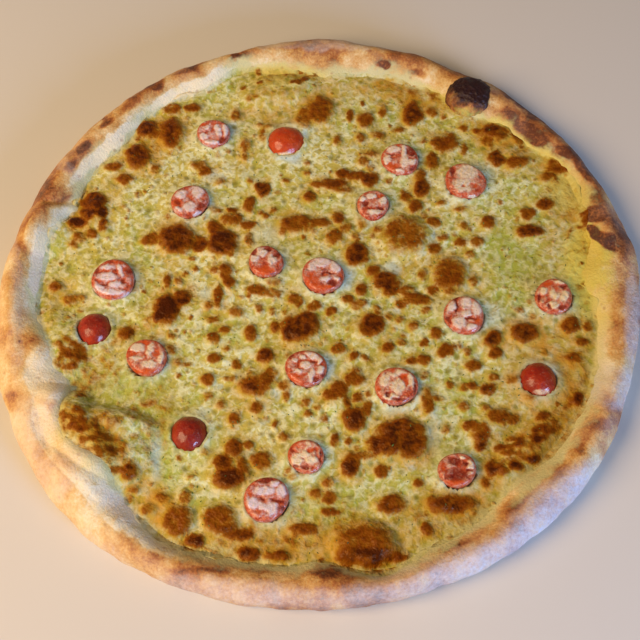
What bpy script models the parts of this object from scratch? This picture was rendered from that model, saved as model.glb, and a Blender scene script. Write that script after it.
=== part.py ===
"""Pesto pizza: a whole, uncut, hand-stretched pizza with a puffed crust, a blistered sheet of
cheese and pesto, and twenty pieces of cherry tomato sunk into it.

Metres, +Z up. The origin is under the middle of the pizza, on the surface that it lies on.
Bearings are degrees counter-clockwise from +X, seen from above.
"""
import math
import random

import bmesh
import bpy
from mathutils import Matrix, Vector

MM = 0.001

# ---- driving dimensions of the dough --------------------------------------------------------
CRUST_RADIUS = 164.0 * MM       # mean reach of the crust's outer edge
CRUST_WAVES = [                 # order, reach and bearing of a crest of each wave in that edge
    (2, 0.95 * MM, 14), (3, 0.85 * MM, -18), (4, 0.5 * MM, 33), (5, 0.7 * MM, 15), (8, 0.4 * MM, -3),
]
CRUST_LOBES = [                 # bearing, half width in degrees and reach of each bulge or dent
    (4, 6, 2.2 * MM), (52, 4, 1.6 * MM), (84, 5, 1.9 * MM), (104, 4, -1.6 * MM),
    (116, 6, 1.2 * MM), (193, 5, 1.3 * MM), (317, 3, 0.8 * MM),
]
BASE_THICKNESS = 4.0 * MM       # the dough under the cheese
RIM_CREST = 16.2 * MM           # mean height of the rim
RIM_WAVES = [(1, 1.3 * MM, 205), (3, 0.8 * MM, 70), (7, 0.6 * MM, 20)]
RIM_SECTION = [                 # radius and height of the plain rim, from the cheese's edge outwards
    (147.0 * MM, 11.7 * MM), (150.5 * MM, 14.6 * MM), (154.0 * MM, 16.2 * MM), (157.5 * MM, 16.0 * MM),
    (161.0 * MM, 13.6 * MM), (163.4 * MM, 10.2 * MM), (164.0 * MM, 6.6 * MM), (163.0 * MM, 3.2 * MM),
    (160.5 * MM, 0.9 * MM), (157.0 * MM, 0.0 * MM),
]

# ---- driving dimensions of the cheese -------------------------------------------------------
CHEESE_RADIUS = 143.5 * MM      # mean reach of the cheese
CHEESE_LOBES = [                # bearing, half width in degrees and reach of each bay or tongue
    (0, 5, -7.0 * MM), (24, 12, 8.0 * MM), (52, 6, -6.5 * MM), (84, 6, -4.0 * MM),
    (104, 6, 7.0 * MM), (124, 8, 3.0 * MM), (137, 5, -2.5 * MM), (155, 6, -4.0 * MM),
    (192, 8, -8.0 * MM), (201, 4, -10.0 * MM), (221, 6, -6.0 * MM), (240, 7, 4.5 * MM),
    (268, 4, -3.5 * MM), (280, 6, 6.0 * MM), (309, 6, -5.0 * MM), (332, 9, 2.0 * MM),
]
CHEESE_LEVEL = 8.3 * MM         # mean height of the cheese's top
CHEESE_EDGE_HEIGHT = 8.3 * MM   # the dough's height where the cheese ends
CHEESE_LIP = 0.9 * MM           # the cheese's thickness at its very edge
SLOPE_WIDTH = 15.5 * MM         # the dough starts to rise this far inside the cheese's edge
GAP = 0.3 * MM                  # between one solid and the next
SWELL = 0.35 * MM               # height of the cheese's slow waves

# ---- swellings: x, y, length, width, bearing of the length, height --------------------------
DOUGH_BUBBLES = [
    (90 * MM, 116 * MM, 36 * MM, 34 * MM, 52, 2.5 * MM),        # round the foot of the charred dome
    (-106 * MM, -84 * MM, 60 * MM, 52 * MM, 217, 6.5 * MM),     # the great one, lower left,
    (-106 * MM, -67 * MM, 60 * MM, 22 * MM, 170, 9.0 * MM),     # and the steep crest on its far side
    (-132 * MM, -24 * MM, 34 * MM, 54 * MM, 190, 4.5 * MM),
    (-141 * MM, 43 * MM, 32 * MM, 34 * MM, 168, 4.0 * MM),      # a fold that ends in a step
    (149 * MM, 33 * MM, 22 * MM, 42 * MM, 12, 3.0 * MM),
    (-16 * MM, 130 * MM, 28 * MM, 54 * MM, 97, 4.5 * MM),
    (96 * MM, -92 * MM, 20 * MM, 58 * MM, 316, 3.5 * MM),
]
CHARRED_DOME = (90.5 * MM, 117 * MM, 12.0 * MM)         # its middle
CHARRED_DOME_RADII = (12.9 * MM, 12.3 * MM, 8.3 * MM)
CHEESE_BLISTERS = [             # the browned lumps that stand out from a step away
    (-72 * MM, 35 * MM, 22 * MM, 20 * MM, 0, 3.0 * MM), (-52 * MM, 31 * MM, 27 * MM, 17 * MM, 0, 2.5 * MM),
    (-9 * MM, -21 * MM, 23 * MM, 21 * MM, 0, 3.0 * MM), (24 * MM, -23 * MM, 22 * MM, 16 * MM, 0, 2.3 * MM),
    (34 * MM, -85 * MM, 35 * MM, 21 * MM, 5, 3.6 * MM), (17 * MM, -131 * MM, 29 * MM, 20 * MM, 0, 2.6 * MM),
    (70 * MM, 6 * MM, 19 * MM, 19 * MM, 0, 2.3 * MM), (48 * MM, 29 * MM, 27 * MM, 22 * MM, 0, 2.4 * MM),
    (36 * MM, 2 * MM, 19 * MM, 17 * MM, 0, 2.0 * MM), (-48 * MM, -94 * MM, 20 * MM, 25 * MM, 0, 2.5 * MM),
    (-78 * MM, -6 * MM, 39 * MM, 16 * MM, 22, 2.4 * MM),
    (-32 * MM, -51 * MM, 21 * MM, 15 * MM, 0, 2.0 * MM),
    (-50 * MM, -118 * MM, 19 * MM, 16 * MM, 0, 2.2 * MM),
    (-70 * MM, -117 * MM, 16 * MM, 16 * MM, 0, 2.0 * MM),
    (-75 * MM, 103 * MM, 15 * MM, 20 * MM, 20, 2.2 * MM),
    (-94 * MM, 89 * MM, 16 * MM, 17 * MM, 0, 2.2 * MM),
    (-118 * MM, 56 * MM, 20 * MM, 25 * MM, 150, 3.8 * MM),
    (112 * MM, 80 * MM, 21 * MM, 17 * MM, 20, 2.4 * MM),
    (75 * MM, 87 * MM, 18 * MM, 16 * MM, 0, 2.2 * MM), (80 * MM, -77 * MM, 22 * MM, 15 * MM, 15, 2.2 * MM),
    (58 * MM, -118 * MM, 24 * MM, 14 * MM, 0, 1.9 * MM), (7 * MM, -60 * MM, 18 * MM, 17 * MM, 60, 2.0 * MM),
]
SMALL_BLISTER_COUNT = 90
SMALL_BLISTER_WIDTH = (11.0 * MM, 16.0 * MM)
SMALL_BLISTER_HEIGHT = (0.8 * MM, 1.6 * MM)
SMALL_BLISTER_REACH = 126.0 * MM

# ---- the tomatoes: x, y, diameter, kind, lean in degrees, bearing that the piece leans to ----
CUT, DOME = "cut", "dome"       # cut face up, or skin up
TOMATOES = [
    (-52.2 * MM, 102.1 * MM, 18.0 * MM, CUT, 4, 250), (-12.5 * MM, 95.4 * MM, 20.4 * MM, DOME, 3, 300),
    (49.4 * MM, 78.6 * MM, 20.2 * MM, CUT, 3, 200), (83.0 * MM, 62.2 * MM, 22.0 * MM, CUT, 2, 40),
    (32.3 * MM, 50.0 * MM, 17.4 * MM, CUT, 5, 300), (-65.2 * MM, 58.3 * MM, 20.4 * MM, CUT, 3, 90),
    (-25.4 * MM, 18.4 * MM, 18.4 * MM, CUT, 4, 60), (4.0 * MM, 8.4 * MM, 21.6 * MM, CUT, 6, 100),
    (-104.8 * MM, 12.5 * MM, 23.0 * MM, CUT, 2, 0), (120.9 * MM, -10.6 * MM, 19.4 * MM, CUT, 4, 180),
    (74.4 * MM, -18.3 * MM, 21.0 * MM, CUT, 2, 150), (-113.6 * MM, -14.9 * MM, 18.4 * MM, DOME, 4, 10),
    (-86.4 * MM, -33.3 * MM, 20.4 * MM, CUT, 5, 60), (-6.8 * MM, -43.5 * MM, 20.4 * MM, CUT, 3, 80),
    (37.2 * MM, -55.7 * MM, 20.8 * MM, CUT, 3, 120), (107.6 * MM, -54.9 * MM, 18.8 * MM, DOME, 3, 150),
    (-65.1 * MM, -74.0 * MM, 18.6 * MM, DOME, 3, 20), (-8.6 * MM, -89.4 * MM, 17.2 * MM, CUT, 4, 270),
    (-28.2 * MM, -110.0 * MM, 21.8 * MM, CUT, 3, 90), (62.9 * MM, -100.5 * MM, 18.0 * MM, CUT, 6, 110),
]
TOMATO_HEIGHT = {CUT: 7.6 * MM, DOME: 9.0 * MM}
TOMATO_SINK = {CUT: 2.8 * MM, DOME: 2.2 * MM}
TOMATO_UNEVEN = 0.035           # how far an outline strays from round, as a share of its radius

# ---- fineness of the faceted surfaces -------------------------------------------------------
CHEESE_RINGS = 22
SEGMENTS = 6 * CHEESE_RINGS     # steps round the pizza, shared by the dough and the cheese
TOMATO_SEGMENTS = 16
SEED = 7


def remove_all_objects():
    """Empty the scene before anything is built."""
    for old in list(bpy.data.objects):
        bpy.data.objects.remove(old, do_unlink=True)


def new_collection(name):
    """Add a collection to the scene."""
    collection = bpy.data.collections.new(name)
    bpy.context.scene.collection.children.link(collection)
    return collection


def baked_food(name, color, roughness, coat=0.0):
    """A Principled material for one kind of food."""
    material = bpy.data.materials.new(name)
    material.use_nodes = True
    shader = material.node_tree.nodes["Principled BSDF"]
    shader.inputs["Base Color"].default_value = (*color, 1.0)
    shader.inputs["Roughness"].default_value = roughness
    shader.inputs["Metallic"].default_value = 0.0
    shader.inputs["Coat Weight"].default_value = coat
    material.diffuse_color = (*color, 1.0)
    return material


# ---- shape rules ----------------------------------------------------------------------------

def smooth(t):
    """An S curve from 0 to 1."""
    t = min(max(t, 0.0), 1.0)
    return t * t * (3.0 - 2.0 * t)


def waves(bearing, rule):
    """A few waves round the pizza."""
    return sum(reach * math.cos(order * (bearing - math.radians(crest))) for order, reach, crest in rule)


def lobes(bearing, rule):
    """Bulges and dents round the pizza, each a bell curve about its own bearing."""
    total = 0.0
    for centre, half_width, reach in rule:
        turn = math.remainder(bearing - math.radians(centre), math.tau)
        total += reach * math.exp(-(turn / math.radians(half_width)) ** 2)
    return total


def crust_radius(bearing):
    """Reach of the crust's outer edge."""
    return CRUST_RADIUS + waves(bearing, CRUST_WAVES) + lobes(bearing, CRUST_LOBES)


def rim_crest(bearing):
    """Height of the rim."""
    return RIM_CREST + waves(bearing, RIM_WAVES)


def cheese_radius(bearing):
    """Reach of the cheese's wandering edge."""
    return CHEESE_RADIUS + lobes(bearing, CHEESE_LOBES)


def mound(x, y, rule):
    """Height that one oval swelling adds at a point; it fades to nothing at its outline."""
    centre_x, centre_y, length, width, bearing, height = rule
    turn = math.radians(bearing)
    along = (x - centre_x) * math.cos(turn) + (y - centre_y) * math.sin(turn)
    across = (y - centre_y) * math.cos(turn) - (x - centre_x) * math.sin(turn)
    distance = (2 * along / length) ** 2 + (2 * across / width) ** 2
    return height * (1.0 - distance ** 1.5) ** 2 if distance < 1.0 else 0.0


def bubble_lift(x, y):
    """Lift of the dough, and of the cheese on it, by the bubbles in the crust."""
    return max(mound(x, y, bubble) for bubble in DOUGH_BUBBLES)


def scattered_blisters():
    """Small blisters strewn over the cheese, clear of the tomatoes."""
    draw = random.Random(SEED)
    blisters = []
    while len(blisters) < SMALL_BLISTER_COUNT:
        distance = SMALL_BLISTER_REACH * math.sqrt(draw.random())
        bearing = draw.uniform(0.0, math.tau)
        x, y = distance * math.cos(bearing), distance * math.sin(bearing)
        width = draw.uniform(*SMALL_BLISTER_WIDTH)
        turn, height = draw.uniform(0, 180), draw.uniform(*SMALL_BLISTER_HEIGHT)
        clear = all(math.hypot(x - piece[0], y - piece[1]) > piece[2] / 2 + width / 2 for piece in TOMATOES)
        if clear:
            blisters.append((x, y, 1.3 * width, width, turn, height))
    return blisters


def dough_top(x, y):
    """Height of the dough's top under the cheese: flat, then rising to the cheese's edge."""
    edge = cheese_radius(math.atan2(y, x))
    rise = min(max((math.hypot(x, y) - (edge - SLOPE_WIDTH)) / SLOPE_WIDTH, 0.0), 1.0)
    lift = (CHEESE_EDGE_HEIGHT - BASE_THICKNESS) * rise ** 2
    return BASE_THICKNESS + lift + smooth(rise) * bubble_lift(x, y)


def cheese_top(x, y, blisters=()):
    """Height of the cheese's top: slow waves, bubbles and blisters, then down to a thin lip."""
    distance = math.hypot(x, y)
    edge = cheese_radius(math.atan2(y, x))
    swell = SWELL * (math.sin(x / (19 * MM) + 1.0) + math.sin(y / (15 * MM) - x / (31 * MM)))
    lumps = sum(mound(x, y, blister) for blister in CHEESE_BLISTERS)
    lumps += sum(mound(x, y, blister) for blister in blisters)
    inner = CHEESE_LEVEL + swell + lumps + bubble_lift(x, y)
    lip = CHEESE_EDGE_HEIGHT + bubble_lift(x, y) + GAP + CHEESE_LIP
    to_edge = smooth((distance - (edge - SLOPE_WIDTH)) / SLOPE_WIDTH)
    return inner + (lip - inner) * to_edge


# ---- mesh helpers ---------------------------------------------------------------------------

def add_object(name, mesh, collection, material=None):
    """Put a mesh in the scene under a sub-part's name."""
    part = bpy.data.objects.new(name, mesh)
    collection.objects.link(part)
    if material:
        mesh.materials.clear()
        mesh.materials.append(material)
    return part


def turned(name, profile, steps, collection, material=None):
    """Turn a profile of (radius, height) points, listed from the top down, round the Z axis."""
    outline = bpy.data.meshes.new(name + "_profile")
    points = [(radius, 0.0, height) for radius, height in profile]
    outline.from_pydata(points, [(i, i + 1) for i in range(len(points) - 1)], [])
    lathe = add_object(name + "_lathe", outline, collection)
    screw = lathe.modifiers.new("Turn", "SCREW")
    screw.steps = steps
    screw.render_steps = steps
    screw.use_merge_vertices = True
    screw.merge_threshold = 0.00001
    evaluated = lathe.evaluated_get(bpy.context.evaluated_depsgraph_get())
    mesh = bpy.data.meshes.new_from_object(evaluated)
    mesh.name = name
    bpy.data.objects.remove(lathe, do_unlink=True)
    return add_object(name, mesh, collection, material)


def hide_helper(helper):
    """Mark a body that only cuts or joins others."""
    helper.hide_render = True
    helper.display_type = "WIRE"


def triangulate(mesh):
    """Split every face by its shorter diagonal, so that facing surfaces are split alike."""
    work = bmesh.new()
    work.from_mesh(mesh)
    bmesh.ops.triangulate(work, faces=work.faces[:], quad_method="SHORT_EDGE")
    work.to_mesh(mesh)
    work.free()


# ---- the dough ------------------------------------------------------------------------------

def crust_profile():
    """The plain section of base and rim, from the middle of its top to the middle of its bottom."""
    slope_start = CHEESE_RADIUS - SLOPE_WIDTH
    slope_middle = CHEESE_RADIUS - SLOPE_WIDTH / 2
    base = [(0.0, BASE_THICKNESS), (slope_start, BASE_THICKNESS), (slope_middle, BASE_THICKNESS + 1.0 * MM)]
    return base + [(CHEESE_RADIUS, CHEESE_EDGE_HEIGHT)] + RIM_SECTION + [(0.0, 0.0)]


def real_radius(radius, bearing):
    """Carry a radius of the plain section to the real, uneven outlines."""
    edge, outer = cheese_radius(bearing), crust_radius(bearing)
    slope_start = CHEESE_RADIUS - SLOPE_WIDTH
    if radius <= slope_start:
        return radius * (edge - SLOPE_WIDTH) / slope_start
    if radius <= CHEESE_RADIUS:
        return edge + radius - CHEESE_RADIUS
    return edge + (radius - CHEESE_RADIUS) * (outer - edge) / (CRUST_RADIUS - CHEESE_RADIUS)


def ellipsoid(name, centre, radii, collection):
    """A closed round helper body."""
    work = bmesh.new()
    bmesh.ops.create_icosphere(work, subdivisions=3, radius=1.0)
    bmesh.ops.scale(work, verts=work.verts[:], vec=radii)
    mesh = bpy.data.meshes.new(name)
    work.to_mesh(mesh)
    work.free()
    body = add_object(name, mesh, collection)
    body.location = centre
    hide_helper(body)
    return body


def make_crust(collection, helpers, material):
    """The dough: a flat base and a puffed rim, with its bubbles and the charred dome."""
    crust = turned("crust", crust_profile(), SEGMENTS, collection, material)
    for vertex in crust.data.vertices:
        plain_radius = math.hypot(vertex.co.x, vertex.co.y)
        bearing = math.atan2(vertex.co.y, vertex.co.x)
        radius = real_radius(plain_radius, bearing)
        x, y, z = radius * math.cos(bearing), radius * math.sin(bearing), vertex.co.z
        on_base_top = plain_radius <= CHEESE_RADIUS + 0.1 * MM and z > 0.5 * BASE_THICKNESS
        if on_base_top:
            z = dough_top(x, y)
        else:
            stretch = (rim_crest(bearing) - CHEESE_EDGE_HEIGHT) / (RIM_CREST - CHEESE_EDGE_HEIGHT)
            over_edge = max(z - CHEESE_EDGE_HEIGHT, 0.0)
            z += over_edge * (stretch - 1.0) + smooth(z / (12 * MM)) * bubble_lift(x, y)
        vertex.co = (x, y, z)
    triangulate(crust.data)
    dome = ellipsoid("charred_dome", CHARRED_DOME, CHARRED_DOME_RADII, helpers)
    join = crust.modifiers.new("Charred dome", "BOOLEAN")
    join.operation = "UNION"
    join.solver = "EXACT"
    join.object = dome
    return crust


# ---- the cheese -----------------------------------------------------------------------------

def disc_point(co):
    """Carry a point of a six-sided disc of radius 1 to a round one: share of the radius, bearing."""
    sector = int(math.floor(math.degrees(math.atan2(co.y, co.x)) / 60.0 + 1e-6))
    bearing = math.radians(60 * sector)
    along = co.x * math.cos(bearing) + co.y * math.sin(bearing)
    across = co.y * math.cos(bearing) - co.x * math.sin(bearing)
    toward_next = across / math.sin(math.radians(60))
    share = along + 0.5 * toward_next
    return share, bearing + math.radians(60) * (toward_next / share if share > 1e-6 else 0.0)


def make_cheese(collection, pockets, material):
    """The melted cheese: an even disc lifted to its relief, on an underside that fits the dough."""
    blisters = scattered_blisters()
    work = bmesh.new()
    corner_on_x = Matrix.Rotation(math.radians(30), 4, "Z")
    bmesh.ops.create_circle(work, cap_ends=True, cap_tris=True, segments=6, radius=1.0, matrix=corner_on_x)
    bmesh.ops.subdivide_edges(work, edges=work.edges[:], cuts=CHEESE_RINGS - 1, use_grid_fill=True)
    for vertex in work.verts:
        share, bearing = disc_point(vertex.co)
        radius = share * cheese_radius(bearing)
        x, y = radius * math.cos(bearing), radius * math.sin(bearing)
        vertex.co = (x, y, cheese_top(x, y, blisters))
    border = [edge for edge in work.edges if edge.is_boundary]
    for inset in (0.0, SLOPE_WIDTH / 2, SLOPE_WIDTH):
        grown = bmesh.ops.extrude_edge_only(work, edges=border)["geom"]
        border = [item for item in grown if isinstance(item, bmesh.types.BMEdge)]
        for vertex in [item for item in grown if isinstance(item, bmesh.types.BMVert)]:
            bearing = math.atan2(vertex.co.y, vertex.co.x)
            radius = cheese_radius(bearing) - inset
            x, y = radius * math.cos(bearing), radius * math.sin(bearing)
            vertex.co = (x, y, dough_top(x, y) + GAP)
    bmesh.ops.contextual_create(work, geom=border)
    bmesh.ops.recalc_face_normals(work, faces=work.faces[:])
    mesh = bpy.data.meshes.new("cheese")
    work.to_mesh(mesh)
    work.free()
    triangulate(mesh)
    cheese = add_object("cheese", mesh, collection, material)
    widened_radii = [radius + GAP for radius in CHARRED_DOME_RADII]
    ellipsoid("dome_clearance", CHARRED_DOME, widened_radii, pockets)
    seat = cheese.modifiers.new("Tomato pockets", "BOOLEAN")
    seat.operation = "DIFFERENCE"
    seat.solver = "EXACT"
    seat.operand_type = "COLLECTION"
    seat.collection = pockets


# ---- the tomatoes ---------------------------------------------------------------------------

def tomato_profile(radius, kind):
    """Section of one piece, from the middle of its top to the middle of its seat."""
    height = TOMATO_HEIGHT[kind]
    if kind == CUT:
        shares = [(0.0, 1.0), (0.87, 0.99), (1.0, 0.86), (0.99, 0.5), (0.87, 0.14), (0.66, 0.0)]
    else:
        shares = [(0.0, 1.0), (0.44, 0.91), (0.77, 0.67), (0.97, 0.36), (1.0, 0.14), (0.88, 0.0)]
    return [(share * radius, part * height) for share, part in shares] + [(0.0, 0.0)]


def widened(profile, height):
    """The same section, GAP larger all round, for the pocket that the piece sits in."""
    return [(radius + GAP if radius > 0.0 else 0.0, z + (GAP if z > height / 2 else -GAP))
            for radius, z in profile]


def place_tomato(piece, rule, draw_seed):
    """Make a turned piece uneven, lean it and set it down in the cheese."""
    x, y, _diameter, kind, lean, toward = rule
    draw = random.Random(draw_seed)
    phase_two, phase_three = draw.uniform(0, math.tau), draw.uniform(0, math.tau)
    for vertex in piece.data.vertices:
        bearing = math.atan2(vertex.co.y, vertex.co.x)
        uneven = math.cos(2 * bearing + phase_two) + 0.6 * math.cos(3 * bearing + phase_three)
        vertex.co.x *= 1.0 + TOMATO_UNEVEN * uneven
        vertex.co.y *= 1.0 + TOMATO_UNEVEN * uneven
    turn = math.radians(toward)
    axis = Vector((-math.sin(turn), math.cos(turn), 0.0))
    piece.rotation_euler = Matrix.Rotation(math.radians(lean), 3, axis).to_euler()
    piece.location = (x, y, cheese_top(x, y) - TOMATO_SINK[kind])


def make_tomatoes(collection, pockets, material):
    """Twenty pieces, and for each a cutter that leaves its pocket in the cheese."""
    for number, rule in enumerate(TOMATOES, start=1):
        radius, kind = rule[2] / 2, rule[3]
        profile = tomato_profile(radius, kind)
        piece = turned(f"tomato_{number:02d}", profile, TOMATO_SEGMENTS, collection, material)
        place_tomato(piece, rule, number)
        pocket_profile = widened(profile, TOMATO_HEIGHT[kind])
        pocket = turned(f"pocket_{number:02d}", pocket_profile, TOMATO_SEGMENTS, pockets)
        place_tomato(pocket, rule, number)
        hide_helper(pocket)


def centre_on_origin(crust, everything):
    """Move all bodies alike, so that the middle of the crust's outline is over the origin."""
    reach_x = [vertex.co.x for vertex in crust.data.vertices]
    reach_y = [vertex.co.y for vertex in crust.data.vertices]
    middle = Vector((max(reach_x) + min(reach_x), max(reach_y) + min(reach_y), 0.0)) / 2
    for body in everything:
        body.location -= middle


def main():
    """Build the pizza."""
    remove_all_objects()
    pizza = new_collection("pesto_pizza")
    pockets = new_collection("pockets")
    helpers = new_collection("joined_bodies")
    dough = baked_food("baked dough", (0.58, 0.30, 0.11), 0.75)
    melted = baked_food("melted cheese with pesto", (0.56, 0.48, 0.15), 0.42, coat=0.1)
    flesh = baked_food("baked cherry tomato", (0.52, 0.06, 0.02), 0.3, coat=0.3)
    crust = make_crust(pizza, helpers, dough)
    make_tomatoes(pizza, pockets, flesh)
    make_cheese(pizza, pockets, melted)
    centre_on_origin(crust, list(pizza.objects) + list(pockets.objects) + list(helpers.objects))
    for part in pizza.objects:
        part.data.shade_smooth()
        part.data.set_sharp_from_angle(angle=math.radians(50))


main()
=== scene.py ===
import math
import random

import bpy
import numpy as np
from mathutils import Matrix, Vector, noise
from mathutils.bvhtree import BVHTree


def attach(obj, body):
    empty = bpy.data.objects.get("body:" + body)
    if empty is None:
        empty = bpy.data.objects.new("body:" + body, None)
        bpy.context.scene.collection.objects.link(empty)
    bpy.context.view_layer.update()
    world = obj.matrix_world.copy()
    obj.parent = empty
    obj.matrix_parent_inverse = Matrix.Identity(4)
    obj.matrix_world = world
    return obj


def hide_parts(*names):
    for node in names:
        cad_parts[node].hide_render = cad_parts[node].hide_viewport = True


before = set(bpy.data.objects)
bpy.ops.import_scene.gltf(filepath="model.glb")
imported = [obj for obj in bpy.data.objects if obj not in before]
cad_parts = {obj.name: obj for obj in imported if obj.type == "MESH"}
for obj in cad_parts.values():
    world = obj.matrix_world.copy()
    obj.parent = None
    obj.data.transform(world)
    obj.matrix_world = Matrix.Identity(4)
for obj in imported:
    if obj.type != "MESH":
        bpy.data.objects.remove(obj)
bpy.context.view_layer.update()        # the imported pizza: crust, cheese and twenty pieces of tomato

# Lengths below are in mm, in the pizza's own plan: the middle of the dough is at (0, 0).
# The finished pieces are moved by this much, which puts the outline's middle over the origin.
planShift = (-1.676, -1.870)
mmPerMetre = 1000

# the camera, and the reading of places in the photograph

photoView = {
    "target": (-0.356, -13.20, 0.0),   # what the camera looks at, mm
    "distance": 600.0,
    "elevation": 63.137,               # degrees above the table
    "roll": -2.884,
    "focal": 1160.118,                 # in pixels of the photograph
    "frame": 640,                      # its width and height in pixels
    "sensor": 36,                      # mm
    "clip": (0.01, 20),                # the nearest and farthest things it sees, m
}


def viewAxes():                # the camera's right, up and back, and its place in mm
    rise, roll = math.radians(photoView["elevation"]), math.radians(photoView["roll"])
    right = Vector((1, 0, 0))
    up = Vector((0, math.sin(rise), math.cos(rise)))
    back = Vector((0, -math.cos(rise), math.sin(rise)))
    eye = Vector(photoView["target"]) + back * photoView["distance"]
    return (right * math.cos(roll) + up * math.sin(roll), up * math.cos(roll) - right * math.sin(roll),
            back, eye)


def photoPlace(x, y, z):       # plan points in mm -> pixels of the photograph
    right, up, back, eye = viewAxes()
    dx, dy, dz = x + planShift[0] - eye.x, y + planShift[1] - eye.y, z - eye.z
    depth = -(dx * back.x + dy * back.y + dz * back.z)
    across = dx * right.x + dy * right.y + dz * right.z
    rise = dx * up.x + dy * up.y + dz * up.z
    middle, focal = photoView["frame"] / 2, photoView["focal"]
    return middle + focal * across / depth, middle - focal * rise / depth


def setCamera():
    right, up, back, eye = viewAxes()
    lens = bpy.data.cameras.new("photoCamera")
    lens.sensor_width = photoView["sensor"]
    lens.lens = photoView["focal"] * photoView["sensor"] / photoView["frame"]
    lens.clip_start, lens.clip_end = photoView["clip"]
    camera = bpy.data.objects.new("photoCamera", lens)
    bpy.context.scene.collection.objects.link(camera)
    turned = Matrix((right, up, back)).transposed().to_4x4()
    camera.matrix_world = Matrix.Translation(eye / mmPerMetre) @ turned
    bpy.context.scene.camera = camera


setCamera()
print("camera set")

# small helpers


def deselectAll():
    if bpy.context.object and bpy.context.object.mode != "OBJECT":
        bpy.ops.object.mode_set(mode="OBJECT")
    bpy.ops.object.select_all(action="DESELECT")


def selectOnly(piece):
    deselectAll()
    piece.select_set(True)
    bpy.context.view_layer.objects.active = piece


def turnOutwards(piece):               # makes all faces point out of the piece
    selectOnly(piece)
    bpy.ops.object.mode_set(mode="EDIT")
    bpy.ops.mesh.select_all(action="SELECT")
    bpy.ops.mesh.normals_make_consistent(inside=False)
    bpy.ops.object.mode_set(mode="OBJECT")


def readPoints(piece):
    points = np.empty(len(piece.data.vertices) * 3)
    piece.data.vertices.foreach_get("co", points)
    return points.reshape(-1, 3)


def setPoints(piece, x, y, z):         # plan points in mm -> the piece's mesh, in metres
    points = np.stack([x + planShift[0], y + planShift[1], z], axis=1) / mmPerMetre
    piece.data.vertices.foreach_set("co", points.ravel())
    piece.data.update()


def keepValues(piece, **values):       # numbers at each point, for the materials to read
    for name, numbers in values.items():
        layer = piece.data.attributes.new(name, "FLOAT", "POINT")
        layer.data.foreach_set("value", np.asarray(numbers, np.float32))


def finishPiece(piece, material):
    piece.data.materials.clear()
    piece.data.materials.append(material)
    selectOnly(piece)
    bpy.ops.object.shade_smooth()
    piece.select_set(False)
    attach(piece, "root")


def smooth(t):
    t = np.clip(t, 0, 1)
    return t * t * (3 - 2 * t)


def polar(radius, bearing):
    return radius * np.cos(bearing), radius * np.sin(bearing)


layerStep, cloudGain = 7.31, 1.6       # how far apart the noise's layers lie, and what fills -1 to 1


def cloud(x, y, size, layer=0.0, z=0.0):     # soft random lumps of about this size, -1 to 1
    depth = np.broadcast_to(np.asarray(z, float) / size + layerStep * layer, np.shape(x))
    return cloudGain * np.array([noise.noise((a, b, c)) for a, b, c in zip(x / size, y / size, depth)])


def clouds(x, y, rule, layer, z=0.0):        # several sizes of lumps together, each (size, height)
    return sum(height * cloud(x, y, size, layer + i, z) for i, (size, height) in enumerate(rule))


def sway(u, v, x, y, amount, size, layer, apart=1):      # shifts pixels, which gives marks uneven outlines
    return u + amount * cloud(x, y, size, layer), v + amount * cloud(x, y, size, layer + apart)


def brush(u, v, strokes, firm=1.0, soft=1.0):
    # Lays oval marks on points that are given as pixels. Each is (u, v, width, height, turn, amount).
    # The strongest mark counts; firm is how quickly it fills from its edge, and soft thins its edge.
    total = np.zeros(len(u))
    for markU, markV, width, height, turn, amount in strokes:
        reach = max(width, height) / 2
        near = np.flatnonzero((np.abs(u - markU) < reach) & (np.abs(v - markV) < reach))
        if not len(near):
            continue
        du, dv = u[near] - markU, v[near] - markV
        cosTurn, sinTurn = math.cos(math.radians(turn)), math.sin(math.radians(turn))
        along, across = du * cosTurn - dv * sinTurn, dv * cosTurn + du * sinTurn
        inside = 1 - (2 * along / width) ** 2 - (2 * across / height) ** 2
        total[near] = np.maximum(total[near], amount * np.clip(inside * firm, 0, 1) ** soft)
    return total


def crease(u, v, lines):
    # Grooves and ridges along straight lines in the photograph: (u, v, u, v, width, depth).
    total = np.zeros(len(u))
    for startU, startV, endU, endV, width, depth in lines:
        length = math.hypot(endU - startU, endV - startV)
        alongU, alongV = (endU - startU) / length, (endV - startV) / length
        along = np.clip((u - startU) * alongU + (v - startV) * alongV, 0, length)
        away = np.hypot(u - startU - along * alongU, v - startV - along * alongV)
        total += depth * np.exp(-(2 * away / width) ** 2)
    return total


# the forms that all pieces share, as the solids have them

doughForm = {
    "radius": 164.0, "base": 4.0, "crest": 16.2,
    "waves": [       # how many round the rim, height, bearing of a crest
        (2, 0.95, 14), (3, 0.85, -18), (4, 0.5, 33), (5, 0.7, 15), (8, 0.4, -3),
    ],
    "lobes": [       # bearing, half width in degrees, reach
        (4, 6, 2.2), (52, 4, 1.6), (84, 5, 1.9), (104, 4, -1.6), (116, 6, 1.2), (193, 5, 1.3), (317, 3, 0.8),
    ],
    "crestWaves": [(1, 1.3, 205), (3, 0.8, 70), (7, 0.6, 20)],
    "section": [     # radius and height, from the cheese over the crest to the underside
        (143.5, 8.3), (147, 11.7), (150.5, 14.6), (154, 16.2), (157.5, 16.0), (161, 13.6), (163.4, 10.2),
        (164, 6.6), (163, 3.2), (160.5, 0.9), (157, 0.0),
    ],
    "bubbles": [     # x, y, length, width, bearing of the length, height
        (90, 116, 36, 34, 52, 2.5), (-106, -84, 60, 52, 217, 6.5), (-106, -67, 60, 22, 170, 9.0),
        (-132, -24, 34, 54, 190, 4.5), (-141, 43, 32, 34, 168, 4.0), (149, 33, 22, 42, 12, 3.0),
        (-16, 130, 28, 54, 97, 4.5), (96, -92, 20, 58, 316, 3.5), (-115, -74.6, 74, 34, 303, 12.0),
    ],
    "spanPoints": 40, "heightPoints": 200,     # fineness of the section's curve, and of the height's table
}
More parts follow.
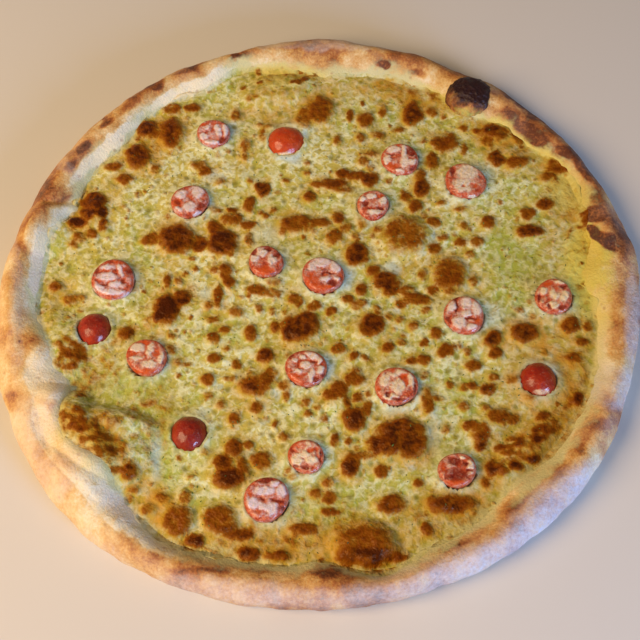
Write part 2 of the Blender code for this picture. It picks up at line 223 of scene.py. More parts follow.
cheeseForm = {
    "radius": 143.5, "level": 8.3, "edgeHeight": 8.3, "lip": 1.2, "slope": 15.5,
    "swell": 0.35, "swellLengths": (19, 15, 31),
    "lobes": [
        (0, 5, -7), (24, 12, 8), (52, 6, -6.5), (84, 6, -4), (104, 6, 7), (124, 8, 3), (137, 5, -2.5),
        (155, 6, -4), (192, 8, -8), (201, 4, -10), (221, 6, -6), (240, 7, 4.5), (268, 4, -3.5), (280, 6, 6),
        (309, 6, -5), (332, 9, 2),
    ],
    "lumps": [       # x, y, length, width, bearing of the length, height
        (-72, 35, 22, 20, 0, 3.0), (-52, 31, 27, 17, 0, 2.5), (-9, -21, 23, 21, 0, 3.0),
        (24, -23, 22, 16, 0, 2.3), (34, -85, 35, 21, 5, 3.6), (17, -131, 29, 20, 0, 2.6),
        (70, 6, 19, 19, 0, 2.3), (48, 29, 27, 22, 0, 2.4), (36, 2, 19, 17, 0, 2.0),
        (-48, -94, 20, 25, 0, 2.5), (-78, -6, 39, 16, 22, 2.4), (-32, -51, 21, 15, 0, 2.0),
        (-50, -118, 19, 16, 0, 2.2), (-70, -117, 16, 16, 0, 2.0), (-75, 103, 15, 20, 20, 2.2),
        (-94, 89, 16, 17, 0, 2.2), (-118, 56, 20, 25, 150, 3.8), (112, 80, 21, 17, 20, 2.4),
        (75, 87, 18, 16, 0, 2.2), (80, -77, 22, 15, 15, 2.2), (58, -118, 24, 14, 0, 1.9),
        (7, -60, 18, 17, 60, 2.0),
    ],
}


def waves(bearing, rule):
    return sum(reach * np.cos(order * (bearing - math.radians(crest))) for order, reach, crest in rule)


def lobes(bearing, rule):
    total = 0
    for centre, halfWidth, reach in rule:
        turn = np.mod(bearing - math.radians(centre) + math.pi, math.tau) - math.pi
        total = total + reach * np.exp(-(turn / math.radians(halfWidth)) ** 2)
    return total


def crustReach(bearing):
    return doughForm["radius"] + waves(bearing, doughForm["waves"]) + lobes(bearing, doughForm["lobes"])


def cheeseReach(bearing):
    return cheeseForm["radius"] + lobes(bearing, cheeseForm["lobes"])


def mound(x, y, rule):
    centreX, centreY, length, width, bearing, height = rule
    turn = math.radians(bearing)
    along = (x - centreX) * math.cos(turn) + (y - centreY) * math.sin(turn)
    across = (y - centreY) * math.cos(turn) - (x - centreX) * math.sin(turn)
    distance = np.minimum((2 * along / length) ** 2 + (2 * across / width) ** 2, 1)
    return height * (1 - distance ** 1.5) ** 2


def bubbleLift(x, y):
    return np.max([mound(x, y, rule) for rule in doughForm["bubbles"]], axis=0)


def cheeseLumps(x, y):
    return sum(mound(x, y, rule) for rule in cheeseForm["lumps"])


def sectionCurve(count):     # a smooth curve through the rim's section, from the cheese outwards and under
    known = np.array(doughForm["section"], float)
    known = np.vstack([2 * known[0] - known[1], known, 2 * known[-1] - known[-2]])
    found = []
    for i in range(1, len(known) - 2):
        before, start, end, after = known[i - 1:i + 3]
        for t in np.linspace(0, 1, doughForm["spanPoints"], endpoint=False):
            found.append(0.5 * (2 * start + (end - before) * t
                                + (2 * before - 5 * start + 4 * end - after) * t ** 2
                                + (3 * start - before - 3 * end + after) * t ** 3))
    found = np.array(found + [known[-2]])
    run = np.concatenate([[0], np.cumsum(np.hypot(*np.diff(found, axis=0).T))])
    even = np.linspace(0, run[-1], count)
    return np.interp(even, run, found[:, 0]), np.maximum(np.interp(even, run, found[:, 1]), 0)


def carryOut(radius, bearing):     # a radius of the plain section -> the real, uneven outlines
    edge, outer = cheeseReach(bearing), crustReach(bearing)
    plainEdge, slope = cheeseForm["radius"], cheeseForm["slope"]
    inside = radius * (edge - slope) / (plainEdge - slope)
    onSlope = edge + radius - plainEdge
    onRim = edge + (radius - plainEdge) * (outer - edge) / (doughForm["radius"] - plainEdge)
    return np.where(radius <= plainEdge - slope, inside, np.where(radius <= plainEdge, onSlope, onRim))


def rimRise(z, bearing):           # the rim's height goes up and down along it
    foot = cheeseForm["edgeHeight"]
    crest = doughForm["crest"] + waves(bearing, doughForm["crestWaves"])
    return z + np.maximum(z - foot, 0) * ((crest - foot) / (doughForm["crest"] - foot) - 1)


def doughHeight(x, y):             # the dough's upper surface, under the cheese and up to the rim's crest
    bearing, distance = np.arctan2(y, x), np.hypot(x, y)
    edge, outer = cheeseReach(bearing), crustReach(bearing)
    rise = np.clip((distance - (edge - cheeseForm["slope"])) / cheeseForm["slope"], 0, 1)
    floor = doughForm["base"] + (cheeseForm["edgeHeight"] - doughForm["base"]) * rise ** 2
    share = (distance - edge) / (outer - edge)
    plain = cheeseForm["radius"] + np.clip(share, 0, 1) * (doughForm["radius"] - cheeseForm["radius"])
    radius, z = sectionCurve(doughForm["heightPoints"])
    top = slice(0, int(np.argmax(z)))
    onRim = rimRise(np.interp(plain, radius[top], z[top]), bearing)
    return np.where(distance > edge, onRim, floor) + smooth(rise) * bubbleLift(x, y)


def cheeseLevel(x, y):
    slope, (acrossX, alongY, skew) = cheeseForm["slope"], cheeseForm["swellLengths"]
    swell = cheeseForm["swell"] * (np.sin(x / acrossX + 1) + np.sin(y / alongY - x / skew))
    lift = bubbleLift(x, y)
    inner = cheeseForm["level"] + swell + cheeseLumps(x, y) + lift
    lip = cheeseForm["edgeHeight"] + lift + cheeseForm["lip"]
    edge = cheeseReach(np.arctan2(y, x))
    return inner + (lip - inner) * smooth((np.hypot(x, y) - (edge - slope)) / slope)


discCorners = 6


def foodDisc(name, rings, walls):
    # A six-sided disc, cut into even triangles, with rows of wall below its edge and a flat face under it.
    # Returned with it, for each point: the share of the radius, the bearing and the row of wall.
    deselectAll()
    bpy.ops.mesh.primitive_circle_add(vertices=discCorners, radius=1, fill_type="TRIFAN")
    piece = bpy.context.object
    piece.name = piece.data.name = name
    bpy.ops.object.mode_set(mode="EDIT")
    bpy.ops.mesh.select_all(action="SELECT")
    bpy.ops.mesh.subdivide(number_cuts=rings - 1)
    bpy.ops.mesh.select_all(action="SELECT")
    bpy.ops.mesh.region_to_loop()
    for _ in range(walls):
        bpy.ops.mesh.extrude_edges_move(TRANSFORM_OT_translate={"value": (0, 0, -1)})
    bpy.ops.mesh.edge_face_add()
    turnOutwards(piece)
    points = readPoints(piece)
    corner = math.atan2(points[1, 1], points[1, 0])
    angle = np.arctan2(points[:, 1], points[:, 0]) - corner
    length = np.hypot(points[:, 0], points[:, 1])
    wedge = math.radians(360 / discCorners)
    sector = np.floor(np.degrees(angle) / (360 / discCorners) + 1e-4)     # a hair more, for the corners
    within = angle - sector * wedge
    toward = length * np.sin(within) / math.sin(wedge)
    share = length * np.cos(within) + toward / 2
    bearing = (sector + toward / np.maximum(share, 1e-6)) * wedge
    return piece, np.minimum(share, 1), bearing, np.round(-points[:, 2])


# materials: nodes, and the settings that many of them share

inColour, smoothStep = {"data_type": "RGBA"}, {"interpolation_type": "SMOOTHSTEP"}
plus, minus = {"operation": "ADD"}, {"operation": "SUBTRACT"}
times, timesPlus = {"operation": "MULTIPLY"}, {"operation": "MULTIPLY_ADD"}


def paint(code):           # "#C9874A" -> linear colour
    parts = [int(code[i:i + 2], 16) / 255 for i in (1, 3, 5)]
    return (*[c / 12.92 if c <= 0.04045 else ((c + 0.055) / 1.055) ** 2.4 for c in parts], 1)


def connect(tree, node, inputs):       # a socket is linked, a hex colour painted, anything else set
    for name, value in inputs.items():
        if isinstance(value, bpy.types.NodeSocket):
            tree.links.new(value, node.inputs[name])
        else:
            node.inputs[name].default_value = paint(value) if isinstance(value, str) else value


def addNode(tree, kind, settings={}, inputs={}, stops=()):
    made = tree.nodes.new("ShaderNode" + kind)
    for name, value in settings.items():
        setattr(made, name, value)
    for i, (place, colour) in enumerate(stops):
        ramp = made.color_ramp.elements
        stop = ramp[i] if i < len(ramp) else ramp.new(place)
        stop.position, stop.color = place, paint(colour)
    connect(tree, made, inputs)
    return made.outputs


def newMaterial(name):
    material = bpy.data.materials.new(name)
    material.use_nodes = True
    tree = material.node_tree
    place = addNode(tree, "TexCoord")["Object"]
    inMm = addNode(tree, "Mapping", inputs={"Vector": place, "Scale": (mmPerMetre,) * 3})["Vector"]
    return material, tree, tree.nodes["Principled BSDF"], inMm


stainLook = {              # cheese and oil that ran onto the dough
    "plain": "#CFCA92", "oily": "#DCCC5C", "creamy": "#F6E6BA",
    "raggedness": 1.6,
    "cover": {"From Min": 0.1, "From Max": 0.9, "To Max": 0.9},
}


def addStain(tree, base, grain):
    # The same stain is on both sides of the cheese's edge, so the cheese thins out without a line.
    look = stainLook
    stain, oil, creamy = (addNode(tree, "Attribute", {"attribute_name": name})["Fac"]
                          for name in ("stain", "oil", "creamy"))
    colour = addNode(tree, "Mix", inColour, {0: oil, 6: look["plain"], 7: look["oily"]})[2]
    colour = addNode(tree, "Mix", inColour, {0: creamy, 6: colour, 7: look["creamy"]})[2]
    amount = addNode(tree, "Math", timesPlus,
                     {0: grain, 1: look["raggedness"], 2: -look["raggedness"] / 2})[0]
    amount = addNode(tree, "Math", plus, {0: amount, 1: stain})[0]
    amount = addNode(tree, "MapRange", smoothStep, {"Value": amount, **look["cover"]})[0]
    return addNode(tree, "Mix", inColour, {0: amount, 6: base, 7: colour})[2]


# baked wheat dough

crustLook = {
    "ramp": [(0.0, "#EFE2C0"), (0.25, "#E3C48A"), (0.5, "#CF9C56"), (0.75, "#A7652E"), (1.0, "#63300F")],
    # the blue-grey flour is flour as the cool window light tints it: painted light
    "flour": "#EAD8C8", "coldFlour": "#C6C4CE", "char": "#2C0A05", "freckle": "#9A5A28",
    "noises": [(6, 5, 0.62), (1.3, 4, 0.6), (2.2, 6, 0.75)],     # mottling, grain, dust: mm, detail, roughness
    "mottling": 0.85, "graininess": 0.62,                        # how much they vary the browning
    "freckles": 4.5, "freckleRange": {"From Min": 0.12, "From Max": 0.3, "To Min": 0.4, "To Max": 0},
    "frecklesBare": 0.72,                                        # the share of places without one
    "dustRange": {"From Min": 0.32, "From Max": 0.68, "To Min": 0.42},
    "burnGrain": 0.5, "burnRange": {"From Min": 0.15, "From Max": 0.75},
    "pores": 1.6, "poreDepth": 0.25, "bump": {"Strength": 0.7, "Distance": 0.0007},
    "roughness": 0.78, "charRoughness": 0.5,
    "depth": {"Subsurface Weight": 0.06, "Subsurface Radius": (1.0, 0.6, 0.35), "Subsurface Scale": 0.002},
}


def doughMaterial():
    # Baked bread dough: matt and dusty, pale where it stretched, golden to brown where it met the heat,
    # with fine pores and freckles.
    look = crustLook
    material, tree, shader, inMm = newMaterial("bakedWheatDough")
    bake, flour, char, cold = (addNode(tree, "Attribute", {"attribute_name": name})["Fac"]
                               for name in ("bake", "flour", "char", "cold"))
    mottle, grain, dust = (
        addNode(tree, "TexNoise", inputs={"Vector": inMm, "Scale": 1 / size, "Detail": detail,
                                          "Roughness": rough})["Fac"] for size, detail, rough in look["noises"])
    shift = addNode(tree, "Math", timesPlus, {0: mottle, 1: look["mottling"], 2: -look["mottling"] / 2})[0]
    shift = addNode(tree, "Math", timesPlus, {0: grain, 1: look["graininess"], 2: shift})[0]
    heat = addNode(tree, "Math", plus, {0: bake, 1: shift})[0]
    heat = addNode(tree, "Math", minus, {0: heat, 1: look["graininess"] / 2})[0]
    dough = addNode(tree, "ValToRGB", inputs={"Fac": heat}, stops=look["ramp"])["Color"]
    dough = addStain(tree, dough, mottle)
    # freckles, 1 to 2 mm wide
    cells = addNode(tree, "TexVoronoi", inputs={"Vector": inMm, "Scale": 1 / look["freckles"], "Randomness": 1})
    spot = addNode(tree, "MapRange", inputs={"Value": cells["Distance"], **look["freckleRange"]})[0]
    picks = addNode(tree, "SeparateColor", inputs={"Color": cells["Color"]})
    chosen = addNode(tree, "Math", {"operation": "GREATER_THAN"}, {0: picks[0], 1: look["frecklesBare"]})[0]
    spot = addNode(tree, "Math", times, {0: spot, 1: chosen})[0]
    # flour, and char over it
    dust = addNode(tree, "MapRange", inputs={"Value": dust, **look["dustRange"]})[0]
    dust = addNode(tree, "Math", times, {0: dust, 1: flour})[0]
    # on some bearings the flour turns blue-grey: a painted tint of the cool light, not the flour's own colour
    flourWithCoolTint = addNode(tree, "Mix", inColour, {0: cold, 6: look["flour"], 7: look["coldFlour"]})[2]
    burn = addNode(tree, "Math", timesPlus, {0: grain, 1: look["burnGrain"], 2: -look["burnGrain"] / 2})[0]
    burn = addNode(tree, "Math", plus, {0: burn, 1: char})[0]
    burn = addNode(tree, "MapRange", inputs={"Value": burn, **look["burnRange"]})[0]
    for amount, colour in ((spot, look["freckle"]), (dust, flourWithCoolTint), (burn, look["char"])):
        dough = addNode(tree, "Mix", inColour, {0: amount, 6: dough, 7: colour})[2]
    finish = addNode(tree, "MapRange", inputs={"Value": burn, "To Min": look["roughness"],
                                               "To Max": look["charRoughness"]})[0]
    pores = addNode(tree, "TexVoronoi", inputs={"Vector": inMm, "Scale": 1 / look["pores"], "Randomness": 1})
    relief = addNode(tree, "Math", timesPlus, {0: pores["Distance"], 1: look["poreDepth"], 2: grain})[0]
    bump = addNode(tree, "Bump", inputs={"Height": relief, **look["bump"]})[0]
    connect(tree, shader, {"Base Color": dough, "Roughness": finish, "Normal": bump, **look["depth"]})
    return material


crustPlan = {
    "steps": 1200,             # points round the rim
    "rimRows": 58,             # rows across the rim, from the cheese to the underside
    "underCheese": [(128.0, 4.0), (134.0, 4.6), (138.5, 6.0), (141.5, 7.4)],     # radius, height: hidden slope
    "underside": (152.0, 0, -10),                          # radii of its rings: the first, the end, the step
    "wallLift": 12,            # below this height, a bubble lifts the outer wall less and less
    "unevenness": ((24, 0.75), (9, 0.38), (3.6, 0.16)),    # size and height of its lumps
    "middle": (154.0, 7.0),    # radius and height, in the section, that the lumps point away from
    "slopeCalm": (0.6, 0.5),   # the slope toward the cheese is smoother: by how much, up to what share
    "footCalm": (2.5, 0.3),    # the wall's foot is, too: up to what height, and what is left of its lumps
    "sway": (3, 6, 3),         # of the marks' outlines: pixels, mm, layer of noise
    "seenAbove": 2.0,          # the photograph's marks lie above this height
    "heat": 0.28,              # browning all over
    "crestHeat": (0.26, 0.1, 0.5), "wallCool": (0.5, 8),   # more on the crest, less at the wall's foot
    "patches": ((24, 0.27), (9, 0.18)),                    # size and strength of uneven browning
    "tone": [                  # bearing, half width, strength of browner stretches
        (205, 24, -0.12), (152, 18, 0.15), (122, 12, 0.1), (0, 14, 0.08), (268, 22, 0.13), (305, 24, 0.12),
        (36, 22, 0.24),
    ],
    "dusting": (0.16, 0.55, 0.3),                          # flour all round the outer side
    "underFlour": 0.35, "flourPatches": ((15, 0.12),),
    "cold": [(318, 36, 1.0), (60, 30, 0.4)],               # bearings where the flour is painted blue-grey, a painted tint of the cool window light
    "stainEdge": (1.15, 6, 3, 14, 8), "stainCut": (0.9, 0.85, 0.3),     # it shows less on strong browning
}

rimFirmness = {"bake": 1.2, "pale": 1.5, "flour": 1.5, "char": 1.5, "oil": 1.3, "stain": 1.0}
creamShare = 1.4               # how much of the pale marks is cream that ran out of the cheese
rimMarks = {
    # Marks on the rim, as ovals in the photograph: u, v, width, height, turn, amount
    "bake": [
        (40, 190, 36, 80, 35, 0.2), (155, 84, 26, 14, 25, 0.6), (107, 121, 20, 12, 40, 0.6),
        (84, 147, 20, 12, 45, 0.6), (130, 105, 30, 12, 40, 0.35), (70, 165, 20, 10, 50, 0.35),
        (190, 68, 40, 8, 20, 0.35), (48, 195, 20, 10, 55, 0.3), (240, 57, 26, 10, 10, 0.45),
        (300, 46, 50, 12, 5, 0.25), (383, 63, 22, 12, -10, 0.45), (420, 72, 22, 12, -15, 0.45),
        (530, 108, 90, 12, -35, 0.6), (585, 170, 60, 14, -52, 0.5), (592, 214, 28, 26, 0, 1.0),
        (601, 238, 46, 18, -36, 1.0), (584, 256, 30, 6, 40, 0.45), (592, 262, 34, 6, 34, 0.35),
        (600, 250, 26, 20, -30, 0.4), (622, 245, 16, 60, 15, 0.2), (480, 112, 90, 24, -25, 0.25),
        (592, 268, 26, 6, 30, 0.3), (600, 280, 22, 5, 30, 0.25), (582, 205, 40, 74, -30, 0.35),
        (530, 135, 80, 24, -35, 0.4), (470, 105, 100, 30, -25, 0.2), (490, 520, 160, 16, 35, 0.25),
        (575, 445, 90, 14, 60, 0.2), (340, 572, 150, 14, 0, 0.35), (505, 116, 70, 14, -30, 0.4),
        # the bake mark at u 60, v 352 is painted shade on the inner side of the left bulge
        (548, 150, 60, 14, -45, 0.4), (25, 325, 44, 40, 0, 0.2), (60, 352, 26, 36, -30, 0.45),
        (20, 342, 7, 10, 0, 0.4), (58, 373, 12, 14, 0, 0.6), (64, 418, 64, 24, -45, 0.5),
        (572, 188, 54, 18, -55, 0.4), (590, 262, 12, 24, 20, 0.3), (600, 292, 10, 26, 10, 0.1),
        (75, 200, 90, 8, 0, 0.25), (460, 108, 66, 34, -15, 0.35), (92, 212, 40, 44, 0, 0.4),
        (18, 280, 14, 120, 5, 0.15), (105, 560, 80, 14, -38, 0.3), (11, 402, 12, 26, 0, 0.35),
        (285, 75, 70, 22, 0, 0.3), (564, 152, 26, 16, -45, 0.45), (290, 566, 260, 12, 2, 0.4),
        (450, 546, 110, 12, 22, 0.35), (530, 492, 110, 14, 42, 0.25), (572, 455, 110, 16, 52, 0.25),
        (180, 548, 80, 12, -28, 0.3),
    ],
    "pale": [
        (190, 89, 110, 16, 25, 0.75), (105, 150, 110, 16, 43, 0.75), (62, 222, 46, 40, 60, 0.5),
        (40, 270, 24, 130, 0, 0.5), (45, 375, 50, 70, 0, 0.45), (35, 440, 60, 110, 15, 0.35),
        # the pale mark at u 120, v 508 also lightens a trough that lies in shade: partly painted light
        (56, 455, 80, 70, -40, 0.25), (80, 500, 120, 50, -38, 0.5), (120, 508, 70, 26, -45, 0.7),
        (86, 460, 80, 30, -42, 0.45), (350, 85, 70, 16, -5, 0.5), (600, 330, 22, 100, 0, 0.2),
        (150, 540, 90, 20, -25, 0.4), (30, 230, 20, 80, 20, 0.3), (10, 330, 20, 60, 0, 0.2),
        (610, 380, 16, 80, 15, 0.2),
    ],
    "flour": [
        (16, 330, 20, 120, 0, 0.35), (320, 44, 260, 14, 0, 0.45), (30, 435, 60, 130, -25, 0.6),
        # The flour marks at u 115 and 122, v 505 to 510 also lighten that shaded trough: painted light over the
        # flour.
        (122, 510, 50, 24, -45, 0.6), (90, 545, 120, 30, -35, 0.35), (250, 592, 260, 30, -5, 0.45),
        (420, 580, 200, 40, 12, 0.56), (545, 510, 170, 50, 42, 0.74), (622, 390, 50, 150, 75, 0.62),
        (480, 560, 160, 44, 20, 0.74), (632, 320, 20, 120, 0, 0.6), (115, 505, 50, 24, -38, 0.4),
        (38, 275, 16, 70, 0, 0.6), (12, 250, 16, 160, 12, 0.35), (60, 160, 14, 100, 45, 0.3),
        (50, 480, 50, 120, -40, 0.6),
    ],
    "char": [
        (470, 95, 52, 42, -10, 0.3), (155, 84, 7, 4, 0, 0.4), (107, 121, 7, 5, 0, 0.4),
        (84, 147, 7, 5, 0, 0.4), (240, 57, 8, 4, 0, 0.4), (20, 342, 4, 5, 0, 0.5), (92, 205, 18, 16, 20, 0.3),
        (601, 238, 42, 15, -36, 0.4), (592, 214, 22, 20, 0, 0.25),
    ],
    "oil": [
        (590, 275, 70, 140, 10, 1.2), (565, 195, 60, 80, 40, 0.7), (585, 350, 40, 60, 0, 0.5),
        (550, 170, 90, 40, -45, 0.8), (60, 425, 60, 60, -30, 0.4), (86, 458, 90, 50, -42, 0.75),
        (280, 80, 110, 40, 0, 0.8), (510, 130, 100, 30, -35, 0.8), (440, 100, 60, 30, -20, 0.7),
    ],
    "stain": [
        (586, 268, 76, 120, 0, 1.0), (566, 192, 44, 70, 40, 0.9), (582, 245, 30, 60, 15, 0.9),
        (215, 551, 90, 16, -18, 0.7), (86, 456, 90, 44, -42, 0.8), (550, 160, 100, 22, -45, 0.35),
        (600, 340, 26, 80, 0, 0.5), (280, 80, 90, 24, 0, 0.5), (505, 122, 80, 20, -32, 0.4),
        (545, 468, 130, 22, 46, 0.9), (450, 540, 90, 16, 20, 0.4),
    ],
}
rimCreases = [
    (40, 200, 82, 203, 6, -1.6), (42, 206, 84, 209, 9, 0.7), (22, 400, 60, 470, 5, -0.35),
    (60, 470, 95, 500, 5, -0.35), (14, 398, 40, 440, 5, -0.3), (56, 330, 88, 365, 12, -1.0),
    (8, 395, 34, 402, 5, -0.5),
]


def stainNear(distance, x, y, start, width, wander, size, layer):     # thins out away from the cheese's edge
    return start - distance / (width + wander * cloud(x, y, size, layer))


def makeCrust(material):
    plan = crustPlan
    plainRadius, plainZ = sectionCurve(plan["rimRows"])
    hidden, under = plan["underCheese"], [(radius, 0.0) for radius in np.arange(*plan["underside"])]
    sectionRadius = np.concatenate([[p[0] for p in hidden], plainRadius, [p[0] for p in under]])
    sectionZ = np.concatenate([[p[1] for p in hidden], plainZ, [p[1] for p in under]])
    rows = len(sectionRadius)
    deselectAll()
    bpy.ops.mesh.primitive_cylinder_add(vertices=plan["steps"], radius=1, depth=1, end_fill_type="NGON")
    crust = bpy.context.object
    crust.name = crust.data.name = "bakedCrust"
    bpy.ops.object.mode_set(mode="EDIT")
    bpy.ops.mesh.select_mode(type="EDGE")
    bpy.ops.mesh.select_all(action="DESELECT")
    bpy.ops.object.mode_set(mode="OBJECT")
    flat = readPoints(crust)
    ends = np.empty(len(crust.data.edges) * 2, int)
    crust.data.edges.foreach_get("vertices", ends)
    ends = ends.reshape(-1, 2)
    crust.data.edges.foreach_set("select", np.abs(flat[ends[:, 0], 2] - flat[ends[:, 1], 2]) > 0.5)
    bpy.ops.object.mode_set(mode="EDIT")
    bpy.ops.mesh.subdivide_edgering(number_cuts=rows - 2, interpolation="LINEAR")
    bpy.ops.object.mode_set(mode="OBJECT")
    # each row of points goes to its place in the section, and out to the real outline
    points = readPoints(crust)
    row = np.round((0.5 - points[:, 2]) * (rows - 1)).astype(int)
    bearing = np.arctan2(points[:, 1], points[:, 0])
    plain, z = sectionRadius[row], sectionZ[row]
    radius = carryOut(plain, bearing)
    x, y = polar(radius, bearing)
    upper = row <= len(hidden) + int(np.argmax(plainZ))
    lift = np.where(upper, 1, smooth(z / plan["wallLift"])) * bubbleLift(x, y)
    z = np.where(plain < cheeseForm["radius"] - 0.01, np.where(upper, doughHeight(x, y), z),
                 rimRise(z, bearing) + lift)
    u, v = photoPlace(x, y, z)
    # the dough's unevenness, outwards from the middle of the rim's section
    onRim = (row > len(hidden) - 2) & (row < len(hidden) + plan["rimRows"] - 2)
    outX = radius - carryOut(np.full(len(x), plan["middle"][0]), bearing)
    outZ = z - plan["middle"][1]
    size = np.maximum(np.hypot(outX, outZ), 1)
    across = np.clip((plain - cheeseForm["radius"]) / (doughForm["radius"] - cheeseForm["radius"]), 0, 1)
    (calm, calmTo), (footHeight, footShare) = plan["slopeCalm"], plan["footCalm"]
    push = clouds(x, y, plan["unevenness"], 0, z) * (1 - calm * upper * (1 - smooth(across / calmTo)))
    push = np.where(upper | (z > footHeight), push, footShare * push) * onRim
    push = push + crease(u, v, rimCreases) * upper
    radius = radius + push * outX / size
    x, y = polar(radius, bearing)
    z = np.maximum(z + push * outZ / size, 0)
    setPoints(crust, x, y, z)
    # where the heat reached it, and what lies on it
    swayed = sway(*photoPlace(x, y, z), x, y, *plan["sway"])
    marks = {name: brush(*swayed, rimMarks[name], rimFirmness[name]) for name in rimMarks}
    seen = (z > plan["seenAbove"]) & (row < rows - len(under))
    (gain, crestFrom, crestWide), (cool, coolHeight) = plan["crestHeat"], plan["wallCool"]
    crestHeat = np.where(upper, smooth((across - crestFrom) / crestWide),
                         1 - cool * smooth((coolHeight - z) / coolHeight))
    bake = plan["heat"] + gain * crestHeat + lobes(bearing, plan["tone"]) * seen
    bake = bake + clouds(x, y, plan["patches"], 5) + marks["bake"] * seen - marks["pale"] * upper
    dusting, dustFrom, dustWide = plan["dusting"]
    flour = marks["flour"] + dusting * smooth((across - dustFrom) / dustWide)
    flour = np.where(seen, flour, plan["underFlour"]) + clouds(x, y, plan["flourPatches"], 7)
    toCheese = np.maximum(radius - cheeseReach(bearing), 0)
    stain = np.clip(np.maximum(stainNear(toCheese, x, y, *plan["stainEdge"]), marks["stain"]), 0, 1)
    cut, cutFrom, cutWide = plan["stainCut"]
    keepValues(crust, bake=np.clip(bake, 0, 1), flour=np.clip(flour, 0, 1), char=marks["char"] * seen,
               cold=np.clip(lobes(bearing, plan["cold"]), 0, 1),
               stain=upper * stain * (1 - cut * smooth((bake - cutFrom) / cutWide)),
               oil=upper * marks["oil"], creamy=upper * np.clip(creamShare * marks["pale"], 0, 1))
    turnOutwards(crust)
    finishPiece(crust, material)
    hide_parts("crust")
    return crust


# the charred bubble on the rim

charPlan = {
    "middle": (90.5, 117.0, 12.0), "radii": (12.9, 12.3, 8.3),
    "rough": ((7, 0.6), (2.5, 0.35), (1.2, 0.15)),                          # size and height of its lumps
    "flank": [(466, 116, 60, 32, 0, 1.2), (450, 100, 24, 30, 0, 0.6)],      # its browned side, in the photograph
    "bake": (0.85, 0.1, ((3, 0.2),)), "char": (0.92, 0.92, ((4, 0.12),)),   # all over, less on the flank, patches
    "stainFrom": 0.6,
}


def makeCharredBubble(material):
    plan = charPlan
    deselectAll()
    bpy.ops.mesh.primitive_ico_sphere_add(subdivisions=6, radius=1)
    bubble = bpy.context.object
    bubble.name = bubble.data.name = "charredBubble"
    points = readPoints(bubble)
    places = np.array(plan["middle"]) + points * plan["radii"]
    x, y, z = places.T
    push = clouds(x, y, plan["rough"], 11, z)
    x, y, z = (places + push[:, None] * points).T
    flank = np.clip(brush(*photoPlace(x, y, z), plan["flank"]), 0, 1)
    bake, char = (np.clip(most - less * flank + clouds(x, y, patches, layer, z), 0, 1)
                  for layer, (most, less, patches) in ((12, plan["bake"]), (13, plan["char"])))
    setPoints(bubble, x, y, z)
    keepValues(bubble, bake=bake, char=char, stain=np.clip(flank - plan["stainFrom"], 0, 1),
               oil=np.ones(len(x)))
    finishPiece(bubble, material)


# melted cheese with pesto

cheeseLook = {
    "cream": "#E5E8BA", "yellow": "#C8BC5E", "leafGreen": "#A4B046", "olive": "#807A24",
    # the whey colour is a cool grey-green: pale whey, with a painted reflection of the cool window light in it
    "glow": "#C69436", "whey": "#C6D4C6", "oilSheen": "#FFE2B4",
    "ramp": [(0.12, "#A08822"), (0.30, "#AC7A10"), (0.48, "#92580A"), (0.72, "#7C3E04"), (1.0, "#4C1E04")],
    # patches of pesto, curds, the ragged browning and its blotches: mm, detail, roughness, distortion
    "noises": [(11, 3, 0.6, 0), (3.2, 2.4, 0.52, 0.4), (2.4, 2, 0.5, 0), (5, 2, 0.6, 0)],
    "patchRange": {"From Min": 0.36, "From Max": 0.68}, "greenGain": 0.9, "greenMost": 0.85,
    "curdRange": {"From Min": 0.38, "From Max": 0.66}, "curdFade": (-0.6, 0.9),     # by the green, and at none
    "specks": ((2.3, 0.5), (5.2, 0.8)),                  # spacing in mm, strength
    "wobble": {"Scale": 1 / 3, "Detail": 2, "Roughness": 0.5}, "wobbleReach": 2.6,
    "spread": (0.75, 0.12), "coverTo": 0.56,             # unevenness of the browning, and where it is full
    "roughness": 0.5, "brownedRoughness": 0.33, "wetRange": {"From Min": 0.3, "From Max": 0.8},
    "heatRelief": 0.4, "bump": {"Strength": 0.7, "Distance": 0.0011},
    "depth": {"Subsurface Weight": 0.1, "Subsurface Radius": (1.0, 0.7, 0.35), "Subsurface Scale": 0.0015,
              "Specular IOR Level": 0.2},
}


